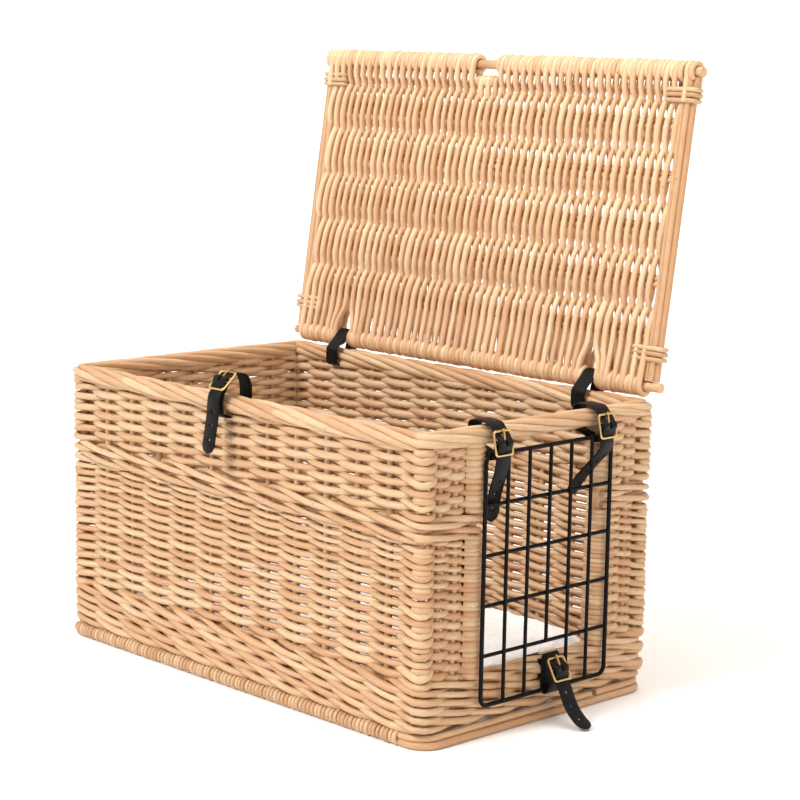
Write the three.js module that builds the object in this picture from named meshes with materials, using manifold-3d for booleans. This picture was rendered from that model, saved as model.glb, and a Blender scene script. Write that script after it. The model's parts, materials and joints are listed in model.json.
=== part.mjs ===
// Wicker pet basket: a willow hamper with a lift-up lid, a hanging wire door and leather straps.
// Millimetres, +Z up. The origin is the middle of the base's underside, +X is the door end and
// -Y is the front, where the latch strap is. The lid stands open, the door hangs shut.
import * as THREE from 'three';
import { mergeVertices } from 'three/addons/utils/BufferGeometryUtils.js';
import Module from 'manifold-3d';

const wasm = await Module();
wasm.setup();

// Body
const LENGTH = 600;
const WIDTH = 360;
const HEIGHT = 330;
const GAP = 0.3;
const BASE_THICKNESS = 18;
const BASE_STICK_RADIUS = 8.5;
const WALL_THICKNESS = 18;
const WALL_INSET = 5;
const BOTTOM_WALE_TOP = 64;
const MID_WALE_BOTTOM = 213;
const MID_WALE_TOP = 239;
const WALE_PROUD = 2;
const POST_RADIUS = 10;
const RIM_WIDTH = 26;
const RIM_HEIGHT = 22;
const RIM_CHAMFER = 5;
const RIM_BOTTOM = HEIGHT - RIM_HEIGHT;
const CUSHION_SIZE = [540, 298, 53];
const CUSHION_CORNER = 22;

// Doorway and door, both at the +X end
const DOORWAY_HALF = 90.7;
const JAMB_RADIUS = 8;
const DOOR_X = LENGTH / 2 + 4.5;
const DOOR_TOP = 299;
const DOOR_SIZE = [192, 264];
const DOOR_COLUMNS = 6;
const DOOR_ROWS = 5;
const DOOR_CORNER = 9;
const FRAME_WIRE_RADIUS = 2;
const GRID_WIRE_RADIUS = 1.75;
const GRID_WIRE_OFFSET = 1.2;

// Lid, drawn in its own frame: x along the hinge, y out from the hinge, z towards its inside
const LID_AXIS = [0, WIDTH / 2 - 1, HEIGHT + 10];
const LID_OPEN_ANGLE = 98.6;
const LID_REACH = 346;
const LID_STICK_RADIUS = 7.75;
const LID_SIDE_RADIUS = 7;
const LID_THICKNESS = 14;
const LID_EDGE = 284;
const LATCH_GAP = { from: -50, to: 2, depth: 26 };
const HINGE_SLOT_DEPTH = 26;
const LASHING = { from: 259, to: 301.6, band: 2, thickness: 18.6, width: 20, inset: 16 };

// Straps and buckles
const STRAP_WIDTH = 20;
const STRAP_THICKNESS = 1.8;
const STRAP_SLACK = 0.5;
const HINGE_STRAP_X = 205;
const LATCH_X = -14;
const HANGER_Y = 80;
const SILL_STRAP_Y = 10;
const NOTCH_WIDTH = 24;
const STRAP_SLOT = [41.8, 46.2];
const BUCKLE_REACH = 12.5;
const BUCKLE_HALF = STRAP_WIDTH / 2 + 2.2;
const BUCKLE_WIRE = 1.2;
const BUCKLE_BAR = 1.1;
const PRONG_WIDTH = 2.4;

const WILLOW = 0xdcb183;
const object = new THREE.Group();

// --- Helpers -------------------------------------------------------------------------------

function addMesh(parent, name, geometry, color, roughness, metalness = 0) {
  const material = new THREE.MeshStandardMaterial({ color, roughness, metalness });
  const mesh = new THREE.Mesh(geometry, material);
  mesh.name = name;
  parent.add(mesh);
  return mesh;
}

const willow = (parent, name, geometry) => addMesh(parent, name, geometry, WILLOW, 0.6);
const leather = (parent, name, geometry) => addMesh(parent, name, geometry, 0x17151a, 0.5);
const brass = (parent, name, geometry) => addMesh(parent, name, geometry, 0xc9a45a, 0.28, 1);

// An upright drawing plane: u runs along the wall, v runs up and w is the way it is extruded.
const ALONG_X = new THREE.Matrix4().makeBasis(
  new THREE.Vector3(1, 0, 0), new THREE.Vector3(0, 0, 1), new THREE.Vector3(0, -1, 0));
const ALONG_Y = new THREE.Matrix4().makeBasis(
  new THREE.Vector3(0, 1, 0), new THREE.Vector3(0, 0, 1), new THREE.Vector3(1, 0, 0));

// Stands a group on an upright plane that crosses the object at x or y = place.
function uprightGroup(plane, place) {
  const group = new THREE.Group();
  group.quaternion.setFromRotationMatrix(plane);
  group.position.setComponent(plane === ALONG_X ? 1 : 0, place);
  object.add(group);
  return group;
}

function extrudeCentred(shape, depth) {
  const geometry = new THREE.ExtrudeGeometry(shape, { depth, bevelEnabled: false, curveSegments: 8 });
  return geometry.translate(0, 0, -depth / 2);
}

const polygon = (points) => new THREE.Shape(points.map(([u, v]) => new THREE.Vector2(u, v)));

const rectangle = (u0, u1, v0, v1) => [[u0, v0], [u1, v0], [u1, v1], [u0, v1]];

function boxBetween(low, high) {
  const size = high.map((value, i) => value - low[i]);
  const middle = high.map((value, i) => (value + low[i]) / 2);
  return new THREE.BoxGeometry(...size).translate(...middle);
}

// A straight round rod from one point to another.
function rod(from, to, radius, sides = 16) {
  const start = new THREE.Vector3(...from);
  const run = new THREE.Vector3(...to).sub(start);
  const geometry = new THREE.CylinderGeometry(radius, radius, run.length(), sides);
  const turn = new THREE.Quaternion().setFromUnitVectors(new THREE.Vector3(0, 1, 0), run.clone().normalize());
  return geometry.applyQuaternion(turn).translate(...start.addScaledVector(run, 0.5).toArray());
}

function toManifold(geometry) {
  const bare = geometry.clone();
  bare.deleteAttribute('normal');
  bare.deleteAttribute('uv');
  const closed = mergeVertices(bare, 1e-4);
  return new wasm.Manifold(new wasm.Mesh({
    numProp: 3,
    vertProperties: new Float32Array(closed.attributes.position.array),
    triVerts: new Uint32Array(closed.index.array),
  }));
}

function fromManifold(solid) {
  const mesh = solid.getMesh();
  const geometry = new THREE.BufferGeometry();
  geometry.setAttribute('position', new THREE.BufferAttribute(mesh.vertProperties, 3));
  geometry.setIndex(new THREE.BufferAttribute(mesh.triVerts, 1));
  geometry.computeVertexNormals();
  return geometry;
}

const join = (geometries) => fromManifold(geometries.map(toManifold).reduce((a, b) => a.add(b)));
const cut = (body, tool) => fromManifold(toManifold(body).subtract(toManifold(tool)));

// A rectangle with round corners as a closed curve, sampled evenly corner by corner.
class RoundedLoop extends THREE.Curve {
  constructor(width, height, radius, cornerSteps) {
    super();
    this.half = [width / 2 - radius, height / 2 - radius];
    this.radius = radius;
    this.cornerSteps = cornerSteps;
    this.steps = 4 * (cornerSteps + 1);
  }

  onCorner(corner, turn) {
    const angle = (corner + turn) * Math.PI / 2;
    const sideX = corner === 0 || corner === 3 ? 1 : -1;
    const sideY = corner < 2 ? 1 : -1;
    return new THREE.Vector3(
      sideX * this.half[0] + this.radius * Math.cos(angle),
      sideY * this.half[1] + this.radius * Math.sin(angle), 0);
  }

  getPoint(t, target = new THREE.Vector3()) {
    const place = (t % 1) * this.steps;
    const corner = Math.floor(place / (this.cornerSteps + 1));
    const along = place - corner * (this.cornerSteps + 1);
    if (along <= this.cornerSteps) return target.copy(this.onCorner(corner, along / this.cornerSteps));
    const start = this.onCorner(corner, 1);
    const end = this.onCorner((corner + 1) % 4, 0);
    return target.copy(start.lerp(end, along - this.cornerSteps));
  }

  getPointAt(u, target) {
    return this.getPoint(u, target);
  }

  getTangentAt(u, target) {
    return this.getTangent(u, target);
  }
}

const closedTube = (loop, radius, sides) => new THREE.TubeGeometry(loop, loop.steps, radius, sides, true);

// --- Base, walls and rim -------------------------------------------------------------------

const WALL_OUT = [LENGTH / 2 - WALL_INSET, WIDTH / 2 - WALL_INSET];
const POST_AT = [WALL_OUT[0] - POST_RADIUS + 1, WALL_OUT[1] - POST_RADIUS + 1];
const WALL_END = WALL_OUT.map((out) => out - WALL_THICKNESS - WALE_PROUD - GAP);
const JAMB_AT = DOORWAY_HALF + JAMB_RADIUS;
const STICK_Y = WIDTH / 2 - BASE_STICK_RADIUS + 0.5;

function addBase() {
  const halfY = STICK_Y - BASE_STICK_RADIUS - GAP;
  const halfX = WALL_OUT[0] + 1;
  willow(object, 'base_panel', boxBetween([-halfX, -halfY, 0], [halfX, halfY, BASE_THICKNESS - GAP]));
  const centre = BASE_STICK_RADIUS + GAP;
  for (const [side, sign] of [['front', -1], ['back', 1]]) {
    const y = sign * STICK_Y;
    willow(object, `base_stick_${side}`, rod([-halfX, y, centre], [halfX, y, centre], BASE_STICK_RADIUS));
  }
}

// One flat run of weave between two heights, with notches in its top for the straps.
function addWall(name, plane, out, from, to, bottom, top, notches = [], proud = 0) {
  const outline = [[from, bottom], [to, bottom], [to, top]];
  const floor = RIM_BOTTOM - 7.5;
  for (const middle of [...notches].sort((a, b) => b - a)) {
    const [left, right] = [middle - NOTCH_WIDTH / 2, middle + NOTCH_WIDTH / 2];
    outline.push([right, top], [right, floor], [left, floor], [left, top]);
  }
  outline.push([from, top]);
  const thickness = WALL_THICKNESS + 2 * proud;
  const group = uprightGroup(plane, out - Math.sign(out) * WALL_THICKNESS / 2);
  return willow(group, name, extrudeCentred(polygon(outline), thickness));
}

const BANDS = [
  { name: 'lower_wall', bottom: BOTTOM_WALE_TOP + GAP, top: MID_WALE_BOTTOM - GAP, proud: 0 },
  { name: 'mid_wale', bottom: MID_WALE_BOTTOM, top: MID_WALE_TOP, proud: WALE_PROUD },
  { name: 'upper_wall', bottom: MID_WALE_TOP + GAP, top: RIM_BOTTOM - GAP, proud: 0 },
];

function addWalls() {
  const bottom = BASE_THICKNESS + GAP;
  const [endX, endY] = WALL_END;
  const door = WALL_OUT[0];
  for (const [side, sign, straps] of [
    ['front', -1, [LATCH_X]], ['back', 1, [-HINGE_STRAP_X, HINGE_STRAP_X]]]) {
    const out = sign * WALL_OUT[1];
    addWall(`bottom_wale_${side}`, ALONG_X, out, -endX, endX, bottom, BOTTOM_WALE_TOP, [], 1);
    for (const band of BANDS) {
      const notches = band.name === 'upper_wall' ? straps : [];
      addWall(`${band.name}_${side}`, ALONG_X, out, -endX, endX, band.bottom, band.top, notches, band.proud);
    }
  }
  addWall('bottom_wale_left', ALONG_Y, -door, -endY, endY, bottom, BOTTOM_WALE_TOP, [], 1);
  const sill = addWall('bottom_wale_door_end', ALONG_Y, door, -endY, endY, bottom, BOTTOM_WALE_TOP);
  const half = NOTCH_WIDTH / 2;
  const slot = boxBetween(
    [SILL_STRAP_Y - half, STRAP_SLOT[0], -WALL_THICKNESS], [SILL_STRAP_Y + half, STRAP_SLOT[1], WALL_THICKNESS]);
  sill.geometry = cut(sill.geometry, slot);
  const jambEnd = JAMB_AT + JAMB_RADIUS + GAP;
  for (const band of BANDS) {
    addWall(`${band.name}_left`, ALONG_Y, -door, -endY, endY, band.bottom, band.top, [], band.proud);
    const { name, proud } = band;
    addWall(`${name}_door_front`, ALONG_Y, door, -endY, -jambEnd, band.bottom, band.top, [], proud);
    addWall(`${name}_door_back`, ALONG_Y, door, jambEnd, endY, band.bottom, band.top, [], proud);
  }
}

function addPosts() {
  const top = RIM_BOTTOM - GAP;
  for (const [end, signX] of [['left', -1], ['door', 1]]) {
    for (const [side, signY] of [['front', -1], ['back', 1]]) {
      const [x, y] = [signX * POST_AT[0], signY * POST_AT[1]];
      const post = rod([x, y, BASE_THICKNESS + GAP], [x, y, top], POST_RADIUS);
      willow(object, `corner_post_${end}_${side}`, post);
    }
  }
  const jambX = WALL_OUT[0] - WALL_THICKNESS / 2;
  for (const [side, sign] of [['front', -1], ['back', 1]]) {
    const y = sign * JAMB_AT;
    const post = rod([jambX, y, BOTTOM_WALE_TOP + GAP], [jambX, y, top], JAMB_RADIUS);
    willow(object, `jamb_post_${side}`, post);
  }
}

function addRim() {
  const [w, h, c] = [RIM_WIDTH / 2, RIM_HEIGHT / 2, RIM_CHAMFER];
  const corners = [[w, h - c], [w - c, h], [c - w, h], [-w, h - c], [-w, c - h], [c - w, -h], [w - c, -h], [w, c - h]];
  const middle = HEIGHT - h;
  const addBar = (name, length, x, y, turn) => {
    const bar = extrudeCentred(polygon(corners), length).rotateX(Math.PI / 2).rotateZ(turn);
    willow(object, name, bar.translate(x, y, middle));
  };
  const endLength = WIDTH - 2 * (RIM_WIDTH + GAP);
  addBar('rim_front', LENGTH, 0, w - WIDTH / 2, Math.PI / 2);
  addBar('rim_back', LENGTH, 0, WIDTH / 2 - w, Math.PI / 2);
  addBar('rim_left', endLength, w - LENGTH / 2, 0, 0);
  addBar('rim_door_end', endLength, LENGTH / 2 - w, 0, 0);
}

// A box cushion with round corners in plan and a softened top and bottom edge.
function addCushion() {
  const [length, width, height] = CUSHION_SIZE;
  const bevel = 12;
  const [u, v, r] = [length / 2 - bevel, width / 2 - bevel, CUSHION_CORNER];
  const plan = new THREE.Shape();
  plan.absarc(u - r, v - r, r, 0, Math.PI / 2);
  plan.absarc(r - u, v - r, r, Math.PI / 2, Math.PI);
  plan.absarc(r - u, r - v, r, Math.PI, Math.PI * 1.5);
  plan.absarc(u - r, r - v, r, Math.PI * 1.5, Math.PI * 2);
  const geometry = new THREE.ExtrudeGeometry(plan, {
    depth: height - 2 * bevel, bevelThickness: bevel, bevelSize: bevel, bevelSegments: 3, curveSegments: 5,
  });
  geometry.translate(0, 0, BASE_THICKNESS + GAP + bevel);
  addMesh(object, 'cushion', geometry, 0xf4f0e8, 0.95);
}

// --- Straps --------------------------------------------------------------------------------

// Points of a circle arc's hull: circles are [u, v, radius], each grown by the same amount.
function hullAround(circles, grow) {
  const points = [];
  for (const [u, v, radius] of circles) {
    for (let i = 0; i < 24; i += 1) {
      const angle = i * Math.PI / 12;
      points.push([u + (radius + grow) * Math.cos(angle), v + (radius + grow) * Math.sin(angle)]);
    }
  }
  points.sort((a, b) => a[0] - b[0] || a[1] - b[1]);
  const turn = (o, a, b) => (a[0] - o[0]) * (b[1] - o[1]) - (a[1] - o[1]) * (b[0] - o[0]);
  const chain = (list) => {
    const kept = [];
    for (const point of list) {
      while (kept.length > 1 && turn(kept.at(-2), kept.at(-1), point) <= 1e-6) kept.pop();
      kept.push(point);
    }
    return kept.slice(0, -1);
  };
  return [...chain(points), ...chain([...points].reverse())];
}

// A closed leather loop drawn tight round a set of circles.
function loopAround(circles) {
  const shape = polygon(hullAround(circles, STRAP_SLACK + STRAP_THICKNESS));
  shape.holes.push(polygon(hullAround(circles, STRAP_SLACK)));
  return extrudeCentred(shape, STRAP_WIDTH);
}

// A buckle's seat: the middle of its centre bar, the way the tongue leaves it, and its outside.
const makeSeat = (centre, run, side) => {
  const length = Math.hypot(...run);
  const along = run.map((value) => value / length);
  return { centre, along, out: [-side * along[1], side * along[0]] };
};

const onSeat = (seat, along, out) => [0, 1].map(
  (i) => seat.centre[i] + along * seat.along[i] + out * seat.out[i]);

// The strap's end folds back round the centre bar, and its tongue threads under, over and under.
const FOLD = [[1.6, 1.75], [0, 2.3], [-1.65, 1.6], [-2.3, 0], [-1.65, -1.65], [0, -2.4], [4, -3.6], [8, -5.2]];
const THREAD = [[-BUCKLE_REACH, -2.5], [-6, 1], [0, 4.5], [6, 1.4], [BUCKLE_REACH, -2.5]];

function ribbon(points) {
  const curve = new THREE.SplineCurve(points.map(([u, v]) => new THREE.Vector2(u, v)));
  const count = 4 * (points.length - 1);
  const sides = [[], []];
  for (let i = 0; i <= count; i += 1) {
    const at = curve.getPoint(i / count);
    const run = curve.getTangent(i / count);
    const [du, dv] = [-run.y * STRAP_THICKNESS / 2, run.x * STRAP_THICKNESS / 2];
    sides[0].push([at.x - du, at.y - dv]);
    sides[1].push([at.x + du, at.y + dv]);
  }
  return extrudeCentred(polygon([...sides[0], ...sides[1].reverse()]), STRAP_WIDTH);
}

// Slides a hanging tongue sideways, more and more below a height.
function leanBelow(geometry, height, slope) {
  const position = geometry.attributes.position;
  for (let i = 0; i < position.count; i += 1) {
    const drop = Math.max(0, height - position.getY(i));
    position.setZ(i, position.getZ(i) + slope * drop);
  }
  return geometry;
}

// A strap that leaves a buckle, goes its round, threads back through and ends in a tongue.
function buckledStrap(seat, round, tongue) {
  const local = (list) => list.map(([along, out]) => onSeat(seat, along, out));
  return ribbon([...local(FOLD), ...round, ...local(THREAD), ...tongue]);
}

// The long hole that lets the prong through the fold and the tongue.
function prongHole(seat) {
  const [length, half] = [7, 1.8];
  const hole = boxBetween([-9.5, -length, -half], [3.4, length, half]);
  return hole.rotateZ(Math.atan2(seat.along[1], seat.along[0])).translate(...seat.centre, 0);
}

// A rectangular brass frame with a bar across its middle, in the seat's own frame.
function buckleFrame() {
  const loop = new RoundedLoop(2 * BUCKLE_REACH, 2 * BUCKLE_HALF, 3, 4);
  const frame = closedTube(loop, BUCKLE_WIRE, 10).rotateX(Math.PI / 2);
  return join([frame, rod([0, 0, -BUCKLE_HALF], [0, 0, BUCKLE_HALF], BUCKLE_BAR, 12)]);
}

// The prong turns on the centre bar and rests on the far end bar.
function prongGeometry() {
  const shape = new THREE.Shape();
  const tip = -BUCKLE_REACH - 2.4;
  shape.moveTo(tip, 2.05);
  shape.lineTo(-1.69, 1.41);
  shape.absarc(0, 0, 2.2, Math.PI * 0.78, Math.PI * 2.4);
  shape.lineTo(-4, 3);
  shape.lineTo(tip, 3.1);
  const eye = new THREE.Path();
  eye.absarc(0, 0, BUCKLE_BAR + GAP, 0, Math.PI * 2);
  shape.holes.push(eye);
  return extrudeCentred(shape, PRONG_WIDTH);
}

function addBuckle(group, seat, name) {
  const frame = new THREE.Group();
  const along = new THREE.Vector3(...seat.along, 0);
  const out = new THREE.Vector3(...seat.out, 0);
  const across = along.clone().cross(out);
  frame.quaternion.setFromRotationMatrix(new THREE.Matrix4().makeBasis(along, out, across));
  frame.position.set(...seat.centre, 0);
  group.add(frame);
  brass(frame, `${name}_buckle`, buckleFrame());
  brass(frame, `${name}_prong`, prongGeometry());
}

function addBuckledStrap(name, strapName, plane, place, seat, round, tongue, lean = null) {
  const group = uprightGroup(plane, place);
  let strap = cut(buckledStrap(seat, round, tongue), prongHole(seat));
  if (lean) strap = leanBelow(strap, lean.below, lean.slope);
  leather(group, strapName, strap);
  addBuckle(group, seat, name);
}

function rimCircles(outer, sign) {
  const near = outer - sign * RIM_CHAMFER;
  const far = outer - sign * (RIM_WIDTH - RIM_CHAMFER);
  const heights = [RIM_BOTTOM + RIM_CHAMFER, HEIGHT - RIM_CHAMFER];
  return heights.flatMap((v) => [[near, v, RIM_CHAMFER], [far, v, RIM_CHAMFER]]);
}

function addHingeStraps() {
  const circles = [...rimCircles(WIDTH / 2, 1), [LID_AXIS[1], LID_AXIS[2], LID_STICK_RADIUS]];
  for (const [side, sign] of [['left', -1], ['right', 1]]) {
    const group = uprightGroup(ALONG_Y, sign * HINGE_STRAP_X);
    leather(group, `hinge_strap_${side}`, loopAround(circles));
  }
}

// Loose loop round the front rim, with room under it for the lid's front stick.
function addLatchStrap() {
  const seat = makeSeat([-179.5, 343.5], [-0.75, -0.66], -1);
  const round = [[-185.2, 329], [-186.6, 320], [-185.8, 310], [-181.5, 304.4], [-166, 303.6], [-152, 304.2],
    [-147.2, 309], [-146.5, 322], [-146.9, 336], [-151.5, 346.3], [-160, 350.3]];
  const tongue = [[-191.2, 325], [-193, 306], [-196.6, 285], [-200, 265]];
  addBuckledStrap('latch', 'latch_strap', ALONG_Y, LATCH_X, seat, round, tongue);
}

// Two straps sling the door's top wire under the rim. Their tongues hang inside the door.
function addHangerStraps() {
  const round = [[308.9, 301], [308.4, 296.6], [304.4, 293.8], [297, 295.6], [286, 300.4], [276.4, 303.4],
    [271.7, 308.6], [271.4, 320], [273, 328.6], [279.5, 331.3], [292, 331.3], [301, 329.8]];
  const seat = makeSeat([312.5, 311], [0.2, -0.98], 1);
  const frontTongue = [[312.6, 292], [310.2, 281], [304.6, 267], [299, 250], [295, 226]];
  const backTongue = [[312.2, 291], [307.5, 280.5], [298, 268], [287, 251], [279.5, 234]];
  addBuckledStrap('hanger_front', 'hanger_strap_front', ALONG_X, -HANGER_Y, seat, round, frontTongue,
    { below: 285, slope: -0.06 });
  addBuckledStrap('hanger_back', 'hanger_strap_back', ALONG_X, HANGER_Y, seat, round, backTongue,
    { below: 285, slope: 0.4 });
}

// The strap on the door's bottom wire and the loop on the sill that it is buckled through.
function addSillStraps() {
  const inner = WALL_OUT[0] - WALL_THICKNESS;
  const corner = 1;
  const low = STRAP_SLOT[1] + corner;
  const high = BOTTOM_WALE_TOP - corner;
  const circles = [low, high].flatMap(
    (v) => [[WALL_OUT[0] - corner, v, corner], [inner + corner, v, corner]]);
  leather(uprightGroup(ALONG_X, SILL_STRAP_Y), 'sill_loop', loopAround(circles));
  const seat = makeSeat([317, 58.5], [0.5, -0.87], 1);
  const round = [[313, 41.5], [309.4, 34.4], [305.2, 30.8], [301.3, 33], [300.5, 42], [300.4, 58],
    [300.8, 69], [303.6, 73.4], [307, 71.6]];
  const tongue = [[326.5, 38], [331.5, 28], [338, 18.5], [348.5, 9.4], [360.5, 3.4]];
  addBuckledStrap('door', 'door_strap', ALONG_X, SILL_STRAP_Y, seat, round, tongue);
}

// --- Door ----------------------------------------------------------------------------------

function addDoor() {
  const group = uprightGroup(ALONG_Y, DOOR_X);
  const [width, height] = DOOR_SIZE;
  const middle = DOOR_TOP - height / 2;
  const solids = [closedTube(new RoundedLoop(width, height, DOOR_CORNER, 5), FRAME_WIRE_RADIUS, 12)];
  const rowStep = height / DOOR_ROWS;
  for (let column = 1; column < DOOR_COLUMNS; column += 1) {
    const u = width * (column / DOOR_COLUMNS - 0.5);
    const foot = column === DOOR_COLUMNS / 2 ? rowStep - height / 2 : -height / 2;
    solids.push(rod([u, foot, GRID_WIRE_OFFSET], [u, height / 2, GRID_WIRE_OFFSET], GRID_WIRE_RADIUS, 10));
  }
  for (let row = 1; row < DOOR_ROWS; row += 1) {
    const v = height / 2 - rowStep * row;
    solids.push(rod([-width / 2, v, -GRID_WIRE_OFFSET], [width / 2, v, -GRID_WIRE_OFFSET], GRID_WIRE_RADIUS, 10));
  }
  const grille = join(solids).translate(0, middle, 0);
  addMesh(group, 'door_grille', grille, 0x101012, 0.35, 0.2);
}

// --- Lid -----------------------------------------------------------------------------------

function lidOutline() {
  const near = LID_STICK_RADIUS + GAP;
  const far = LID_REACH - near;
  const outline = [[-LID_EDGE, near]];
  for (const middle of [-HINGE_STRAP_X, HINGE_STRAP_X]) {
    const [left, right] = [middle - NOTCH_WIDTH / 2, middle + NOTCH_WIDTH / 2];
    outline.push([left, near], [left, HINGE_SLOT_DEPTH], [right, HINGE_SLOT_DEPTH], [right, near]);
  }
  const inner = LID_REACH - LATCH_GAP.depth;
  outline.push([LID_EDGE, near], [LID_EDGE, far], [LATCH_GAP.to, far], [LATCH_GAP.to, inner]);
  outline.push([LATCH_GAP.from, inner], [LATCH_GAP.from, far], [-LID_EDGE, far]);
  return polygon(outline);
}

// Where the four corner lashings sit, as spans along the lid's depth.
const LASHING_SPANS = [
  ['rear', [LASHING.inset + 10, LASHING.inset + 10 + LASHING.width]],
  ['front', [LID_REACH - LASHING.inset - LASHING.width, LID_REACH - LASHING.inset]],
];

// A flat band of willow round the lid's edge and side stick, through a slot in the weave.
function lashingBand(sign, [low, high]) {
  const { from, to, band, thickness } = LASHING;
  const spans = (a, b) => (sign > 0 ? [a, b] : [-b, -a]);
  const [u0, u1] = spans(from, to);
  const [v0, v1] = spans(from + band, to - band);
  const shape = polygon(rectangle(u0, u1, -thickness / 2, thickness / 2));
  shape.holes.push(polygon(rectangle(v0, v1, band - thickness / 2, thickness / 2 - band)));
  return extrudeCentred(shape, high - low).rotateX(Math.PI / 2).translate(0, (low + high) / 2, 0);
}

// The slot that lets a lashing's inner leg through the weave.
function lashingSlot(sign, [low, high]) {
  const middle = sign * (LASHING.from + LASHING.band / 2);
  const half = LASHING.band / 2 + GAP;
  return boxBetween([middle - half, low - GAP, -LID_THICKNESS], [middle + half, high + GAP, LID_THICKNESS]);
}

function addLid() {
  const lid = new THREE.Group();
  lid.position.set(...LID_AXIS);
  lid.rotation.x = THREE.MathUtils.degToRad(180 - LID_OPEN_ANGLE);
  object.add(lid);
  const half = LENGTH / 2;
  willow(lid, 'lid_rear_stick', rod([-half, 0, 0], [half, 0, 0], LID_STICK_RADIUS));
  willow(lid, 'lid_front_stick', rod([-half, LID_REACH, 0], [half, LID_REACH, 0], LID_STICK_RADIUS));
  const near = LID_STICK_RADIUS + 2 * GAP;
  const slots = [];
  for (const [side, sign] of [['left', -1], ['right', 1]]) {
    const x = sign * (LID_EDGE + LID_SIDE_RADIUS + 1);
    willow(lid, `lid_side_stick_${side}`, rod([x, near, 0], [x, LID_REACH - near, 0], LID_SIDE_RADIUS));
    for (const [end, span] of LASHING_SPANS) {
      willow(lid, `lid_lashing_${end}_${side}`, lashingBand(sign, span));
      slots.push(lashingSlot(sign, span));
    }
  }
  willow(lid, 'lid_weave', cut(extrudeCentred(lidOutline(), LID_THICKNESS), join(slots)));
}

addBase();
addWalls();
addPosts();
addRim();
addCushion();
addHingeStraps();
addLatchStrap();
addHangerStraps();
addSillStraps();
addDoor();
addLid();

export default object;
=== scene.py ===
# %% [markdown]
# # A wicker pet basket with a wire door
# A willow hamper: woven walls on upright stakes, a rope-like rim, a hinged lid, a wire door that
# hangs on two leather straps, and a fleece cushion. The CAD model fixes where everything is.
# This file dresses it, piece by piece, and leaves every piece in the place the CAD gives it.

# %% the frame
import json
from math import cos, pi, radians, sin

import bmesh
import bpy
from mathutils import Matrix, Vector, noise


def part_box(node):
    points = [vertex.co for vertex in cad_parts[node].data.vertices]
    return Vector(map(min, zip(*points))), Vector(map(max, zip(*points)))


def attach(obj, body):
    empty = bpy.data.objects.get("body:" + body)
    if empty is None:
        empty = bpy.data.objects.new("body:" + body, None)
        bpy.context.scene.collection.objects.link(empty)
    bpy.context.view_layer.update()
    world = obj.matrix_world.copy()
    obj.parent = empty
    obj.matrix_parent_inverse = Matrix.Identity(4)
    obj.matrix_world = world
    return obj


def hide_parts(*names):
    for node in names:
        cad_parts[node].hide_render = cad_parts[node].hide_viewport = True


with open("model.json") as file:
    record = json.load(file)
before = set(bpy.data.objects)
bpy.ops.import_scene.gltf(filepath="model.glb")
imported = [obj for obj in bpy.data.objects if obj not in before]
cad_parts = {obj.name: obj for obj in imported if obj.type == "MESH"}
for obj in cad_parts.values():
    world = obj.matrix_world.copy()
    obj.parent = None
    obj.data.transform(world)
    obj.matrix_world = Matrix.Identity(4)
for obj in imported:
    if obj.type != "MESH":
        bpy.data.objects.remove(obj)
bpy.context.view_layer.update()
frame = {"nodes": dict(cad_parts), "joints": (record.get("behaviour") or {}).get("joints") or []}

MM = 0.001
scene = bpy.context.scene

# %% [markdown]
# ## Camera, light and floor
# The basket stands on a plain white floor under big soft lamps, as for a catalogue. A long lens
# keeps its edges nearly parallel. The camera's right, up and back directions are worked out
# first, because a slight roll is then one small turn of right and up.


# %% camera
def camera_at(place, azimuth, elevation, roll, lens):
    """A camera at place, looking along an azimuth and an elevation, turned by roll about its view."""
    azimuth, elevation, roll = radians(azimuth), radians(elevation), radians(roll)
    back = Vector((sin(azimuth) * cos(elevation), -cos(azimuth) * cos(elevation), sin(elevation)))
    right = Vector((cos(azimuth), sin(azimuth), 0))
    up = back.cross(right)
    right, up = right * cos(roll) + up * sin(roll), up * cos(roll) - right * sin(roll)
    data = bpy.data.cameras.new("camera")
    data.lens, data.sensor_width, data.clip_end = lens, 36, 60
    camera = bpy.data.objects.new("camera", data)
    scene.collection.objects.link(camera)
    turn = Matrix((right, up, back)).transposed().to_4x4()
    camera.matrix_world = Matrix.Translation(place) @ turn
    return camera


scene.camera = camera_at((1.8449, -1.7027, 0.7268), 46.07, 9.51, 1.04, 100.79)
print("camera looks from", [round(v, 3) for v in scene.camera.location])


# %% lamps and sky
def soft_lamp(name, towards, spread, power, colour=(1.0, 1.0, 1.0)):
    """A far lamp whose light travels towards a direction. A wide spread, in degrees, is soft."""
    data = bpy.data.lights.new(name, "SUN")
    data.angle, data.energy, data.color = radians(spread), power, colour
    lamp = bpy.data.objects.new(name, data)
    lamp.rotation_euler = Vector(towards).to_track_quat("-Z", "Y").to_euler()
    scene.collection.objects.link(lamp)


soft_lamp("key_lamp", (0.2, 1.0, -1.0), 18, 2.55)
soft_lamp("top_lamp", (0.05, -0.15, -1.0), 50, 1.6)
soft_lamp("side_lamp", (-1.0, 0.25, -0.55), 40, 0.74, (1.0, 0.88, 0.76))
scene.view_settings.view_transform = "Standard"
print("three lamps")

# %% [markdown]
# ## Sums that build nodes
# A material and a Geometry Nodes tree are both nets of small nodes. Writing each link by hand
# hides the idea, so one class wraps a node's output and lets ordinary sums add the Math nodes,
# and one function adds any other node: its settings first, then its sockets.


# %% node sums
def add(tree, kind, settings=None, values=None, output=0):
    """Adds a node of this kind, sets it up, and gives back one of its outputs."""
    node = tree.nodes.new(kind)
    for name, value in (settings or {}).items():
        setattr(node, name, value)
    for key, value in (values or {}).items():
        if isinstance(value, Field):
            tree.links.new(value.socket, node.inputs[key])
        else:
            node.inputs[key].default_value = value
    return Field(tree, node.outputs[output])


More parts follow.
